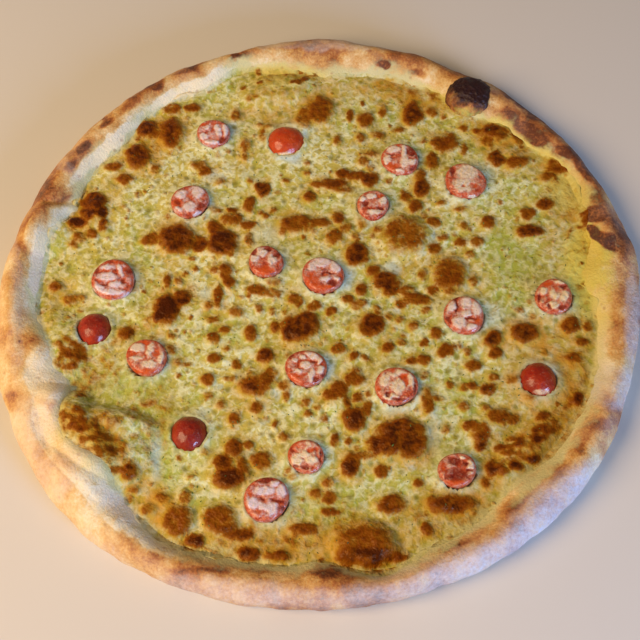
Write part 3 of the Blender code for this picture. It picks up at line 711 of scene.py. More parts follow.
def cheeseMaterial():
    # Melted mozzarella with basil pesto: soft, oily, cream curds with green oil between them,
    # amber where it began to brown and dark where it blistered.
    look = cheeseLook
    material, tree, shader, inMm = newMaterial("meltedCheeseWithPesto")
    bake, green, whey, glow = (addNode(tree, "Attribute", {"attribute_name": name})["Fac"]
                               for name in ("bake", "green", "whey", "glow"))
    patches, curds, ragged, blotch = (
        addNode(tree, "TexNoise", inputs={"Vector": inMm, "Scale": 1 / size, "Detail": detail,
                                          "Roughness": rough, "Distortion": twist})["Fac"]
        for size, detail, rough, twist in look["noises"])
    share = addNode(tree, "MapRange", inputs={"Value": patches, **look["patchRange"]})[0]
    share = addNode(tree, "Math", {**timesPlus, "use_clamp": True}, {0: green, 1: look["greenGain"], 2: share})[0]
    share = addNode(tree, "Math", times, {0: share, 1: look["greenMost"]})[0]
    tone = addNode(tree, "Mix", inColour, {0: share, 6: look["yellow"], 7: look["leafGreen"]})[2]
    veins = addNode(tree, "MapRange", smoothStep, {"Value": curds, **look["curdRange"]})[0]
    pale = addNode(tree, "Math", timesPlus, {0: green, 1: look["curdFade"][0], 2: look["curdFade"][1]})[0]
    veins = addNode(tree, "Math", times, {0: veins, 1: pale})[0]
    # the whey patches are partly pale whey and partly a painted cool sheen
    for amount, colour in ((veins, look["cream"]), (glow, look["glow"]), (whey, look["whey"])):
        tone = addNode(tree, "Mix", inColour, {0: amount, 6: tone, 7: colour})[2]
    # pesto between the curds: soft specks, 1 to 3 mm wide
    for size, strength in look["specks"]:
        specks = addNode(tree, "TexVoronoi", {"feature": "SMOOTH_F1"},
                         {"Vector": inMm, "Scale": 1 / size, "Randomness": 1, "Smoothness": 0.3})
        picks = addNode(tree, "SeparateColor", inputs={"Color": specks["Color"]})
        speck = addNode(tree, "MapRange", smoothStep, {"Value": specks["Distance"], "From Min": 0.08,
                                                       "From Max": 0.48, "To Min": strength, "To Max": 0})[0]
        chosen = addNode(tree, "MapRange", inputs={"Value": picks[0], "From Min": 0.3, "From Max": 0.75})[0]
        speck = addNode(tree, "Math", times, {0: speck, 1: chosen})[0]
        tone = addNode(tree, "Mix", inColour, {0: speck, 6: tone, 7: look["olive"]})[2]
    tone = addStain(tree, tone, curds)
    # browned dots between the blisters: two sizes, each with its own width and heat
    wobble = addNode(tree, "TexNoise", inputs={"Vector": inMm, **look["wobble"]})["Color"]
    wobble = addNode(tree, "VectorMath", minus, {0: wobble, 1: (0.5, 0.5, 0.5)})[0]
    wobble = addNode(tree, "VectorMath", {"operation": "SCALE"}, {0: wobble, "Scale": look["wobbleReach"]})[0]
    swayed = addNode(tree, "VectorMath", plus, {0: inMm, 1: wobble})[0]
    dry = addNode(tree, "Math", {**minus, "use_clamp": True}, {0: 1.0, 1: whey})[0]
    heat = bake
    for size, filled, narrow, wide, cool, hot in cheesePlan["dots"]:
        cells = addNode(tree, "TexVoronoi", inputs={"Vector": swayed, "Scale": 1 / size, "Randomness": 0.9})
        picks = addNode(tree, "SeparateColor", inputs={"Color": cells["Color"]})
        width = addNode(tree, "MapRange", inputs={"Value": picks[0], "To Min": narrow, "To Max": wide})[0]
        inside = addNode(tree, "Math", {"operation": "DIVIDE"}, {0: cells["Distance"], 1: width})[0]
        dot = addNode(tree, "MapRange", smoothStep,
                      {"Value": inside, "From Min": 0.2, "From Max": 1.2, "To Min": 1, "To Max": 0})[0]
        warmth = addNode(tree, "MapRange", inputs={"Value": picks[1], "To Min": cool, "To Max": hot})[0]
        kept = addNode(tree, "Math", {"operation": "LESS_THAN"}, {0: picks[2], 1: filled})[0]
        for factor in (warmth, kept, dry):
            dot = addNode(tree, "Math", times, {0: dot, 1: factor})[0]
        heat = addNode(tree, "Math", {"operation": "SMOOTH_MAX"}, {0: heat, 1: dot, 2: 0.1})[0]
    # browning is never even
    uneven = addNode(tree, "Math", plus, {0: ragged, 1: blotch})[0]
    uneven = addNode(tree, "Math", minus, {0: uneven, 1: 1.0})[0]
    spread = addNode(tree, "Math", timesPlus, {0: heat, 1: look["spread"][0], 2: look["spread"][1]})[0]
    heat = addNode(tree, "Math", timesPlus, {0: uneven, 1: spread, 2: heat})[0]
    cover = addNode(tree, "MapRange", smoothStep, {"Value": heat, "From Min": 0.0, "From Max": look["coverTo"]})[0]
    browned = addNode(tree, "ValToRGB", inputs={"Fac": heat}, stops=look["ramp"])["Color"]
    tone = addNode(tree, "Mix", inColour, {0: cover, 6: tone, 7: browned})[2]
    wetness = addNode(tree, "MapRange", inputs={"Value": heat, **look["wetRange"], "To Min": look["roughness"],
                                                "To Max": look["brownedRoughness"]})[0]
    relief = addNode(tree, "Math", timesPlus, {0: ragged, 1: cover, 2: curds})[0]
    relief = addNode(tree, "Math", timesPlus, {0: heat, 1: look["heatRelief"], 2: relief})[0]
    bump = addNode(tree, "Bump", inputs={"Height": relief, **look["bump"]})[0]
    connect(tree, shader, {"Base Color": tone, "Roughness": wetness, "Normal": bump, **look["depth"],
                           "Specular Tint": look["oilSheen"]})
    return material


cheesePlan = {
    "rings": 163,
    "baysAt": 140, "bays": ((9, 1.1), (3.5, 0.7)),     # the edge's bays: noise's radius, then size and reach
    "insets": (0.0, 0.0, 8.0, 15.5),        # of the edge, and of the three rows under it
    "overlap": 2.6, "edgeFade": 4.0,        # how far it climbs the rim, and thins toward its edge, in mm
    "lipDrop": 1.05, "edgeDip": 0.6,        # how far its lip and its very edge sink into the rim
    "rowsUnder": (-0.8, 0.3), "underside": 4.3, "leastHeight": 4.6,
    "curdRelief": ((6, 0.35), (2.6, 0.22)), "reliefGain": 0.8, "reliefFrom": 4,
    "grown": 1.5, "glow": (2.4, 0.8),       # a blister's amber halo and its wide faint one, in its widths
    "blisterHeight": 0.075,                 # of a blister's width in the photograph, in mm a pixel
    # how marks' outlines sway: pixels, mm, layer of noise
    "blisterSway": ((1.0, 3.6, 21, 2), (1.6, 8, 22, 2)), "glowSway": (4, 8, 35), "broadSway": (5, 9, 25),
    "toneSway": (6, 12, 30), "wheySway": (3, 6, 32),
    "broad": (0.75, 0.5, 3.4), "golden": (0.6, 5), "creamCut": 0.8,
    "glowBroad": 0.25, "glowPatches": ((24, 0.22),), "glowLess": 0.06,
    "pocket": (0.4, 0.93, 0.12),            # under a tomato: depth, share of its radius, softness
    "collar": (2.0, 2.2, 0.92),             # cheese drawn up round it: height, reach in mm, from what share
    "collarWhey": (0.45, 0.8, 0.6, 8), "collarCool": 0.75,     # it is paler and less browned
    "stainEdge": (1.3, 5, 2.5, 14, 37),
    # browned dots: spacing in mm, share of places filled, least and most width and heat
    "dots": [(3.8, 0.55, 0.3, 0.6, 0.08, 0.34), (8.5, 0.35, 0.2, 0.4, 0.32, 0.58)],
}

# Browned blisters: u, v, width, height in the photograph
blisterHeat = {"dark": 0.9, "brown": 0.67, "amber": 0.5}
blisters = {
    "dark": [
        (177, 240, 30, 26), (200, 244, 16, 14), (222, 244, 26, 22), (303, 328, 26, 26), (309, 321, 16, 16),
        (290, 330, 16, 22), (372, 326, 22, 18), (400, 432, 40, 20), (411, 446, 26, 26), (385, 445, 30, 18),
        (530, 232, 24, 12), (524, 334, 24, 16), (493, 340, 18, 14), (386, 282, 24, 14), (391, 289, 14, 14),
        (96, 200, 18, 12), (77, 223, 14, 9), (102, 212, 10, 10), (166, 311, 22, 26), (413, 115, 17, 20),
        (357, 255, 20, 19), (354, 420, 18, 22), (370, 181, 17, 12), (228, 478, 28, 18), (421, 189, 14, 16),
        (351, 466, 16, 22), (496, 160, 13, 15), (263, 190, 13, 13), (488, 390, 13, 12), (265, 357, 14, 13),
        (251, 387, 14, 10),
    ],
    "brown": [
        (365, 545, 50, 36), (449, 276, 28, 28), (88, 212, 14, 14), (84, 203, 8, 8), (330, 396, 14, 10),
        (340, 390, 16, 14), (347, 402, 8, 10), (256, 386, 30, 18), (266, 381, 16, 14), (235, 449, 14, 16),
        (222, 463, 18, 14), (262, 462, 19, 16), (220, 520, 30, 24), (178, 520, 26, 24), (172, 135, 20, 25),
        (138, 157, 20, 20), (320, 112, 24, 24), (444, 144, 26, 16), (517, 163, 20, 14), (491, 132, 15, 14),
        (560, 167, 24, 14), (499, 417, 22, 14), (481, 434, 17, 18), (470, 425, 12, 9), (480, 446, 9, 10),
        (450, 505, 40, 15), (390, 505, 26, 16), (297, 225, 30, 16), (319, 223, 20, 8), (226, 273, 15, 16),
        (230, 284, 12, 12), (152, 240, 16, 10), (148, 130, 18, 12), (570, 327, 16, 14), (278, 557, 26, 10),
        (250, 555, 18, 12), (545, 205, 14, 10), (527, 215, 14, 10), (445, 353, 15, 13), (474, 366, 16, 11),
        (428, 404, 11, 23), (365, 121, 14, 14), (195, 542, 14, 10), (234, 419, 12, 12), (388, 347, 12, 12),
        (315, 307, 14, 9), (295, 301, 14, 12), (125, 333, 12, 12), (171, 351, 10, 9), (250, 206, 12, 14),
        (249, 226, 13, 8), (215, 229, 13, 13), (233, 211, 12, 7), (193, 108, 14, 8), (206, 173, 12, 10),
        (338, 218, 12, 10), (335, 237, 16, 13), (310, 198, 12, 9), (350, 116, 8, 10), (334, 184, 24, 8),
        (343, 175, 13, 9), (356, 177, 18, 9), (393, 233, 11, 20), (413, 242, 16, 11), (435, 249, 11, 11),
        (461, 243, 11, 9), (406, 198, 12, 8), (416, 208, 11, 15), (420, 176, 10, 13), (434, 223, 12, 9),
        (489, 223, 12, 11), (464, 151, 8, 10), (432, 162, 12, 14), (373, 272, 14, 12), (416, 301, 26, 10),
        (401, 306, 10, 8), (433, 291, 12, 9), (362, 290, 10, 12), (331, 313, 12, 9), (348, 300, 12, 10),
        (338, 350, 14, 9), (353, 357, 9, 8), (354, 380, 20, 12), (359, 397, 10, 8), (367, 410, 8, 14),
        (436, 335, 13, 12), (411, 361, 10, 8), (423, 361, 13, 10), (495, 354, 12, 12), (473, 387, 11, 8),
        (423, 344, 9, 7), (530, 398, 13, 8), (513, 419, 10, 9), (499, 449, 9, 6), (381, 472, 14, 12),
        (419, 484, 10, 9), (336, 441, 9, 12), (349, 441, 7, 8), (256, 409, 13, 11), (207, 380, 14, 11),
        (285, 386, 14, 10), (237, 365, 9, 9), (215, 359, 12, 9), (214, 339, 12, 11), (226, 331, 11, 9),
        (251, 333, 12, 14), (276, 327, 9, 10), (218, 298, 8, 20), (182, 298, 13, 12), (256, 291, 17, 10),
        (168, 281, 9, 14), (249, 445, 10, 8), (491, 469, 11, 14), (516, 467, 11, 8), (534, 459, 10, 8),
    ],
    "amber": [
        (405, 238, 40, 32), (80, 238, 14, 10), (92, 234, 12, 8), (74, 246, 10, 8), (104, 226, 8, 12),
        (162, 500, 16, 10), (185, 498, 12, 14), (148, 510, 14, 10), (113, 168, 16, 8), (125, 180, 14, 10),
        (173, 110, 18, 9), (155, 170, 10, 10), (236, 116, 10, 9), (265, 127, 18, 5), (263, 139, 8, 8),
        (246, 147, 9, 12), (245, 158, 8, 8), (199, 166, 15, 10), (221, 182, 12, 7), (251, 182, 8, 6),
        (286, 181, 8, 6), (308, 163, 6, 5), (307, 174, 8, 6), (304, 121, 15, 18), (361, 139, 9, 9),
        (378, 136, 14, 6), (383, 112, 9, 9), (399, 131, 12, 6), (423, 142, 8, 6), (431, 112, 10, 10),
        (463, 129, 8, 6), (476, 131, 6, 5), (487, 143, 10, 8), (364, 162, 10, 9), (370, 169, 6, 6),
        (371, 155, 16, 6), (338, 141, 9, 8), (342, 191, 22, 6), (316, 186, 11, 6), (274, 210, 8, 6),
        (265, 216, 10, 6), (214, 211, 14, 5), (232, 220, 18, 11), (283, 232, 10, 8), (345, 229, 12, 9),
        (356, 239, 8, 10), (249, 241, 8, 11), (192, 258, 8, 5), (214, 271, 10, 8), (195, 269, 8, 6),
        (185, 275, 6, 6), (179, 281, 8, 8), (274, 284, 16, 8), (271, 295, 20, 8), (241, 299, 6, 5),
        (209, 307, 10, 8), (236, 313, 16, 8), (214, 320, 12, 6), (172, 336, 8, 7), (226, 350, 8, 7),
        (178, 363, 9, 8), (187, 366, 9, 6), (273, 311, 6, 8), (284, 313, 5, 8), (259, 309, 8, 10),
        (231, 380, 12, 8), (272, 373, 12, 8), (208, 396, 11, 7), (222, 405, 9, 9), (276, 424, 7, 8),
        (285, 436, 10, 9), (308, 414, 10, 7), (318, 408, 7, 5), (306, 402, 10, 8), (286, 397, 8, 10),
        (243, 470, 10, 20), (204, 453, 7, 6), (191, 477, 9, 6), (292, 477, 9, 7), (329, 483, 14, 9),
        (441, 204, 9, 7), (460, 210, 12, 6), (464, 228, 10, 8), (363, 225, 10, 9), (377, 231, 8, 8),
        (443, 239, 10, 6), (477, 242, 11, 12), (469, 255, 10, 8), (451, 292, 12, 8), (423, 276, 8, 11),
        (406, 292, 14, 9), (473, 281, 8, 9), (359, 306, 16, 11), (377, 311, 8, 9), (389, 317, 8, 7),
        (399, 320, 8, 8), (413, 327, 9, 10), (427, 311, 8, 9), (403, 343, 10, 7), (459, 347, 7, 7),
        (469, 351, 9, 8), (544, 354, 7, 7), (493, 378, 12, 7), (450, 385, 8, 8), (464, 389, 11, 8),
        (425, 377, 9, 8), (440, 400, 10, 5), (464, 406, 12, 8), (486, 410, 9, 8), (514, 380, 9, 8),
        (543, 416, 12, 8), (446, 430, 9, 8), (367, 361, 11, 6), (356, 372, 9, 8), (501, 471, 11, 11),
        (507, 451, 14, 8), (486, 483, 10, 10), (495, 133, 26, 12), (520, 135, 16, 18), (548, 178, 14, 10),
        (572, 358, 12, 10), (588, 327, 10, 10), (582, 343, 12, 8), (578, 400, 10, 10), (520, 443, 8, 10),
        (315, 493, 12, 10), (330, 497, 14, 10), (330, 512, 14, 8), (302, 530, 22, 10), (240, 535, 22, 10),
        (395, 558, 20, 8), (375, 565, 18, 8), (427, 530, 10, 12), (57, 288, 12, 10), (75, 300, 20, 8),
        (130, 473, 14, 14), (133, 490, 12, 8), (365, 456, 24, 8),
    ],
}

cheeseMarks = {
    # Ovals in the photograph, as on the rim
    "bake": [     # broad browning at the edge and on the bubbles
        # The marks at u 72 to 95, v 352 to 384 are painted shade, not browning: they darken the hollow inside the
        # left bulge of the rim.
        (90, 432, 100, 42, -43, 0.72), (120, 466, 36, 36, 0, 0.5), (106, 440, 90, 60, -40, 0.42),
        (105, 450, 50, 24, -40, 0.3), (112, 418, 60, 20, -15, 0.3), (84, 384, 34, 46, 25, 0.5),
        (275, 88, 70, 36, 10, 0.2), (305, 78, 44, 12, 20, 0.6), (600, 240, 50, 60, 0, 0.35),
        (577, 230, 32, 8, 42, 0.55), (584, 250, 30, 6, 35, 0.5), (571, 256, 24, 6, 40, 0.4),
        (588, 218, 24, 24, 0, 0.8), (522, 450, 110, 42, 38, 0.5), (88, 216, 40, 50, 0, 0.3),
        (120, 180, 50, 40, 45, 0.2), (365, 560, 120, 24, 5, 0.45), (215, 545, 120, 30, -15, 0.4),
        (480, 130, 120, 30, -25, 0.25), (560, 200, 60, 60, -50, 0.25), (72, 352, 40, 50, 0, 0.8),
        (570, 340, 50, 60, 0, 0.2), (543, 432, 60, 24, 35, 0.85), (566, 410, 16, 50, 0, 0.4),
        (578, 400, 12, 24, 0, 0.5), (500, 470, 60, 20, 40, 0.3), (150, 140, 110, 40, 42, 0.3),
        (270, 540, 130, 26, -8, 0.45), (252, 97, 12, 12, 0, 0.5), (285, 74, 60, 10, 15, 0.5),
        (50, 298, 24, 60, 0, 0.2), (76, 412, 40, 24, -40, 0.35), (556, 190, 40, 40, -50, 0.15),
        (430, 92, 150, 30, -10, 0.4), (490, 112, 60, 24, -30, 0.3), (110, 425, 90, 30, -20, 0.4),
        (575, 375, 36, 70, 0, 0.35), (460, 515, 80, 30, 15, 0.3), (312, 532, 40, 40, 0, 0.3),
        (75, 355, 36, 60, 0, 0.3), (520, 385, 60, 40, 0, 0.2), (430, 505, 90, 26, 10, 0.2),
        (180, 300, 60, 24, 35, 0.4), (154, 320, 60, 14, 30, 0.5), (95, 355, 80, 100, 0, 0.34),
        (150, 425, 80, 110, 0, 0.32), (310, 515, 130, 60, 0, 0.26), (430, 515, 120, 60, 10, 0.26),
        (500, 455, 90, 70, 30, 0.26), (565, 440, 60, 90, 30, 0.3), (572, 400, 60, 150, 10, 0.3),
        (545, 450, 80, 60, 45, 0.25), (442, 132, 44, 24, 0, 0.22), (233, 462, 44, 50, 0, 0.22),
        (335, 180, 60, 24, 0, 0.15), (230, 225, 60, 34, 0, 0.15),
    ],
    "green": [
        # The green marks at u 82, v 384 and u 130, v 385 are partly the pesto's green and partly painted shade over
        # a valley.
        (515, 265, 80, 90, 0, 0.6), (82, 384, 30, 50, 25, 0.9), (130, 385, 90, 60, 0, 0.8),
        (155, 400, 60, 30, -10, 0.5), (480, 510, 90, 30, 15, 0.7), (505, 240, 50, 20, 0, 0.8),
        (60, 300, 20, 90, 0, 0.6), (560, 385, 50, 60, 0, 0.6), (440, 510, 90, 30, 0, 0.5),
        (165, 450, 40, 130, 0, 0.9), (330, 510, 90, 60, 0, 0.6), (588, 330, 24, 120, 0, 0.8),
        (545, 470, 90, 24, 42, 0.7), (130, 260, 60, 80, 0, 0.4), (455, 395, 60, 60, 0, 0.35),
        (230, 330, 80, 50, 0, 0.3), (330, 155, 110, 40, 0, 0.3), (200, 450, 50, 60, 0, 0.3),
        (300, 410, 60, 40, 0, 0.2), (110, 390, 60, 40, 0, 0.5), (250, 130, 60, 40, 0, 0.4),
        (560, 440, 50, 40, 0, 0.4), (420, 490, 50, 40, 0, 0.3), (435, 440, 30, 70, 0, 0.4),
    ],
    "cream": [
        # The cream marks take green out, so the cheese is paler there; the wide ones, most in the upper left, are
        # partly painted light, brighter where more light falls.
        (180, 170, 150, 120, 20, 1.0), (215, 270, 150, 130, 0, 0.9), (330, 165, 130, 80, 0, 1.0),
        (390, 395, 80, 60, 0, 1.0), (280, 420, 120, 60, 0, 0.5), (250, 130, 60, 50, 0, 0.7),
        (440, 190, 60, 50, 0, 0.6), (230, 370, 80, 50, 0, 0.5), (420, 250, 60, 60, 0, 0.4),
        (470, 240, 60, 60, 0, 0.4), (110, 250, 60, 80, 0, 0.5),
    ],
    "golden": [
        (555, 390, 130, 240, 0, 0.65), (480, 500, 220, 100, 22, 0.45), (290, 95, 140, 70, 0, 0.6),
        (400, 92, 170, 46, -10, 0.6), (505, 135, 150, 70, -35, 0.6), (580, 250, 80, 160, 0, 0.5),
        (95, 210, 80, 110, 30, 0.4), (290, 545, 280, 60, 0, 0.45), (150, 500, 90, 60, -40, 0.5),
        (92, 435, 100, 66, -42, 1.0), (150, 150, 120, 50, 42, 0.5), (175, 300, 60, 40, 30, 0.4),
        (400, 455, 90, 50, 0, 0.4), (130, 285, 40, 60, 0, 0.4), (540, 150, 90, 60, -40, 0.5),
        (60, 310, 40, 120, 0, 0.3),
    ],
    "whey": [
        # Pale whey patches: partly real whey, partly a painted cool sheen, as on the lit right side of the big
        # bubble at lower left
        (287, 158, 40, 14, 0, 0.9), (110, 500, 60, 20, -38, 0.3), (480, 172, 44, 30, 0, 0.5),
        (347, 278, 22, 34, 0, 0.7), (157, 455, 16, 60, 0, 0.7), (215, 179, 22, 12, 0, 0.6),
        (233, 127, 12, 20, 0, 0.6), (95, 385, 50, 26, 0, 0.15), (520, 315, 30, 30, 0, 0.3),
        (475, 330, 30, 14, 0, 0.3), (268, 236, 34, 30, 0, 0.45), (305, 133, 12, 20, 0, 0.6),
        (205, 411, 16, 9, 0, 0.6), (262, 421, 16, 9, 0, 0.6), (251, 454, 12, 9, 0, 0.8),
        (277, 395, 10, 13, 0, 0.7), (229, 364, 11, 11, 0, 0.7), (219, 386, 13, 9, 0, 0.6),
        (328, 368, 16, 34, 0, 0.8), (206, 294, 15, 16, 0, 0.6), (397, 309, 10, 8, 0, 0.7),
        (493, 318, 34, 34, 0, 0.45), (436, 432, 20, 60, 0, 0.4), (411, 467, 14, 9, 0, 0.6),
        (392, 410, 30, 12, 0, 0.6), (478, 355, 8, 9, 0, 0.5), (393, 269, 20, 16, 0, 0.7),
        (436, 238, 8, 14, 0, 0.7), (392, 250, 10, 16, 0, 0.4), (245, 176, 16, 8, 0, 0.4),
    ],
}

tomatoPlan = {
    # x, y, diameter, kind, lean in degrees, bearing that the piece leans to
    "pieces": [
        (-52.2, 102.1, 18.0, "cut", 4, 250), (-12.5, 95.4, 20.4, "dome", 3, 300),
        (49.4, 78.6, 20.2, "cut", 3, 200), (83.0, 62.2, 22.0, "cut", 2, 40),
        (32.3, 50.0, 17.4, "cut", 5, 300), (-65.2, 58.3, 20.4, "cut", 3, 90),
        (-25.4, 18.4, 18.4, "cut", 4, 60), (4.0, 8.4, 21.6, "cut", 6, 100), (-104.8, 12.5, 23.0, "cut", 2, 0),
        (120.9, -10.6, 19.4, "cut", 4, 180), (74.4, -18.3, 21.0, "cut", 2, 150),
        (-113.6, -14.9, 18.4, "dome", 4, 10), (-86.4, -33.3, 20.4, "cut", 5, 60),
        (-6.8, -43.5, 20.4, "cut", 3, 80), (37.2, -55.7, 20.8, "cut", 3, 120),
        (107.6, -54.9, 18.8, "dome", 3, 150), (-65.1, -74.0, 18.6, "dome", 3, 20),
        (-8.6, -89.4, 17.2, "cut", 4, 270), (-28.2, -110.0, 21.8, "cut", 3, 90),
        (62.9, -100.5, 18.0, "cut", 6, 110),
    ],
    "height": {"cut": 7.6, "dome": 9.0}, "sink": {"cut": 2.8, "dome": 2.2}, "uneven": 0.035,
    "section": {     # share of the radius and of the height, from the middle of the top down to the seat
        "cut": [(0, 1.0), (0.84, 0.985), (0.96, 0.9), (1.0, 0.75), (0.98, 0.45), (0.87, 0.14), (0.66, 0.0)],
        "dome": [(0, 1.0), (0.44, 0.91), (0.77, 0.67), (0.97, 0.36), (1.0, 0.14), (0.88, 0.0)],
    },
    "turnsDown": {"cut": 2, "dome": 3},                      # the section's point where the walls begin
    "blurs": {"cut": (0.5, 0.25), "dome": (2.2, 1.3, 0.7)},  # they round the section's corners, mm
    "rings": 20, "walls": 9,
    "face": (4.5, 3, 0.8), "sway": (1.2, 2.6),               # how the face ends on the wall; marks' outlines
    "meltSpread": 1.08,                                      # melted cheese on the cut faces: more or less
    "firmness": 1.3,                                         # how quickly each mark fills from its edge
    "seeds": 0.75, "pulp": 0.8,                              # strength of the dark hollows and the orange flesh
    "film": (0.34, 0.4, 3, 0.5),                             # thin cheese between the runs: least, patches, most
    "meltGaps": (0.85, 0.65), "rimMelt": (0.5, 0.86, 0.08),  # less over hollows and flesh, and at the face's edge
    "faceRelief": (0.6, 0.5, 0.2, 1.8),                      # height of the runs, depth of hollows, grain
    "domeTones": {2: (0.0, 0.45), 12: (0.5, 0.0), 16: (0.45, 0.05), 17: (0.65, 0.0)},      # dark, orange
    "domeMeltAndGlint": {2: [(287, 158, 38, 14, 0, 1.0)], 16: [(541, 392, 20, 8, 0, 0.6)]},     # cheese on dome 2's front; on dome 16 a painted highlight in the cheese's colour
    "domeSplash": (0.7, 3, 5, 6, 0.3),                       # cheese low on a dome: most, rows, size, share
    "tonePatches": (0.25, 4), "wrinkles": (0.3, 4, 0.3),     # strength or height, size, middle level
    # how far the melted cheese on each looks lilac, not cream
    "coolMelt": {1: 0.8, 3: 0.4, 4: 0.2, 5: 0.3, 6: 0.8, 7: 0.5, 8: 0.8, 9: 0.9, 11: 0.5, 13: 0.3,
                 14: 0.5, 15: 0.2, 18: 0.1, 19: 1.0, 20: 0.3},
}


def tomatoSeat(midX, midY, kind):
    return cheeseLevel(np.array([midX]), np.array([midY]))[0] - tomatoPlan["sink"][kind]


def makeCheese(material):
    plan = cheesePlan
    cheese, share, bearing, row = foodDisc("meltedCheese", plan["rings"], len(plan["insets"]) - 1)
    ragged = clouds(*polar(plan["baysAt"], bearing), plan["bays"], 20)
    edge = cheeseReach(bearing) + plan["overlap"] + ragged
    radius = share * edge - np.array(plan["insets"])[row.astype(int)]
    x, y = polar(radius, bearing)
    dough, fromEdge, top = doughHeight(x, y), np.maximum(edge - radius, 0), row == 0
    level = cheeseLevel(x, y) - plan["lipDrop"] * smooth(1 - fromEdge / cheeseForm["slope"])
    level = np.maximum(level, dough + cheeseForm["lip"] - plan["lipDrop"])
    fade = np.clip(fromEdge / plan["edgeFade"], 0, 1)
    z = dough + (level - dough) * smooth(fade) - plan["edgeDip"] * (1 - smooth(2 * fade))
    u, v = photoPlace(x, y, z)
    # browned blisters: raised, with ragged outlines
    swayed = u, v
    for rule in plan["blisterSway"]:
        swayed = sway(*swayed, x, y, *rule)
    grown, (wide, strength) = plan["grown"], plan["glow"]
    spots = [(*spot, heat) for kind, heat in blisterHeat.items() for spot in blisters[kind]]
    marks = [(u, v, w * grown, h * grown, 0, heat) for u, v, w, h, heat in spots]
    halos = [(*m[:2], m[2] * (wide / grown), m[3] * (wide / grown), 0, strength * m[5]) for m in marks]
    bumps = [(*m[:5], plan["blisterHeight"] * math.sqrt(m[2] * m[3])) for m in marks]
    glow = brush(*sway(u, v, x, y, *plan["glowSway"]), halos)
    broad = brush(*sway(u, v, x, y, *plan["broadSway"]), cheeseMarks["bake"], 1.3)
    broadLevel, broadPatches, patchSize = plan["broad"]
    bake = brush(*swayed, marks, 1.3, 1.15) + broad * (broadLevel + broadPatches * cloud(x, y, patchSize, 27))
    raised = np.maximum(brush(*swayed, bumps, 1.4) - cheeseLumps(x, y), 0)
    relief = clouds(x, y, plan["curdRelief"], 28) * (1 + plan["reliefGain"] * np.clip(bake, 0, 1))
    z = z + (raised + relief) * smooth(fromEdge / plan["reliefFrom"])
    # tomatoes press in: a pocket inside each outline, and cheese drawn up round it
    (depth, pocketShare, pocketSoft), (rise, reach, riseFrom) = plan["pocket"], plan["collar"]
    wheyLevel, wheyFrom, wheyPatches, wheySize = plan["collarWhey"]
    collar = np.zeros(len(x))
    for midX, midY, diameter, kind, _, _ in tomatoPlan["pieces"]:
        away = np.hypot(x - midX, y - midY) / (diameter / 2)
        seat = tomatoSeat(midX, midY, kind)
        z = np.where(top, z + (np.minimum(z, seat - depth) - z) * smooth((pocketShare - away) / pocketSoft), z)
        near = np.exp(-np.clip(away - 1, 0, 9) * diameter / 2 / reach)
        z = z + rise * near * (away > riseFrom)
        collar = np.maximum(collar, near * (away > wheyFrom))
        bake = bake * (1 - plan["collarCool"] * near)
    below = [dough + rise for rise in plan["rowsUnder"]] + [np.full(len(x), plan["underside"])]
    underZ = np.select([row == i + 1 for i in range(len(below))], below, z)
    z = np.where(top, np.maximum(z, plan["leastHeight"]), underZ)
    setPoints(cheese, x, y, z)
    # its colours, and the stain that it shares with the rim
    u, v = photoPlace(x, y, z)
    swayed = sway(u, v, x, y, *plan["toneSway"])
    green = brush(*swayed, cheeseMarks["green"], 1.2) - plan["creamCut"] * brush(*swayed, cheeseMarks["cream"])
    golden = brush(*swayed, cheeseMarks["golden"]) * (1 + plan["golden"][0] * cloud(x, y, plan["golden"][1], 39))
    glow = glow + golden + plan["glowBroad"] * broad + clouds(x, y, plan["glowPatches"], 38) - plan["glowLess"]
    whey = brush(*sway(u, v, x, y, *plan["wheySway"]), cheeseMarks["whey"], 1.2)
    whey = np.maximum(whey, wheyLevel * collar * (1 + wheyPatches * cloud(x, y, wheySize, 34)))
    rim = {name: brush(u, v, rimMarks[name], rimFirmness[name]) for name in ("stain", "oil", "pale")}
    stain = np.maximum(stainNear(fromEdge, x, y, *plan["stainEdge"]), rim["stain"])
    keepValues(cheese, bake=np.clip(bake, 0, 1.2), green=np.clip(green, -0.8, 1), whey=np.clip(whey, 0, 1),
               glow=np.clip(glow, 0, 1), stain=np.clip(stain, 0, 1), oil=rim["oil"],
               creamy=np.clip(creamShare * rim["pale"], 0, 1))
    finishPiece(cheese, material)
    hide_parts("cheese")
    return cheese


# baked cherry tomatoes

tomatoLook = {
    "juice": "#6E1204", "orange": "#D2520A", "melt": "#E8D2A8", "coolMelt": "#E4D3D8", "meltShade": "#CF8F74",
    "flesh": [(0.3, "#6E1204"), (0.48, "#BE4A22"), (0.72, "#D97E54")],
    "skin": [(0.35, "#A41A00"), (0.75, "#C84004")],
    # streaks, fine grain, coarse grain: mm, detail, roughness, distortion
    "noises": [(2.4, 4, 0.6, 0.8), (0.9, 3, 0.6, 0), (1.7, 4, 0.6, 0)],
    "meltGrain": 0.5, "meltRange": {"From Min": 0.5, "From Max": 0.95}, "edgeGrain": 0.9, "edgeTo": 0.95,
    "bump": {"Strength": 0.7, "Distance": 0.0006}, "filmBump": {"Strength": 0.6, "Distance": 0.00022},
    "finish": {"Roughness": 0.36, "Specular IOR Level": 0.2, "Coat Weight": 0.55, "Coat Roughness": 0.14,
               "Subsurface Weight": 0.12, "Subsurface Radius": (1.0, 0.35, 0.2), "Subsurface Scale": 0.001},
}


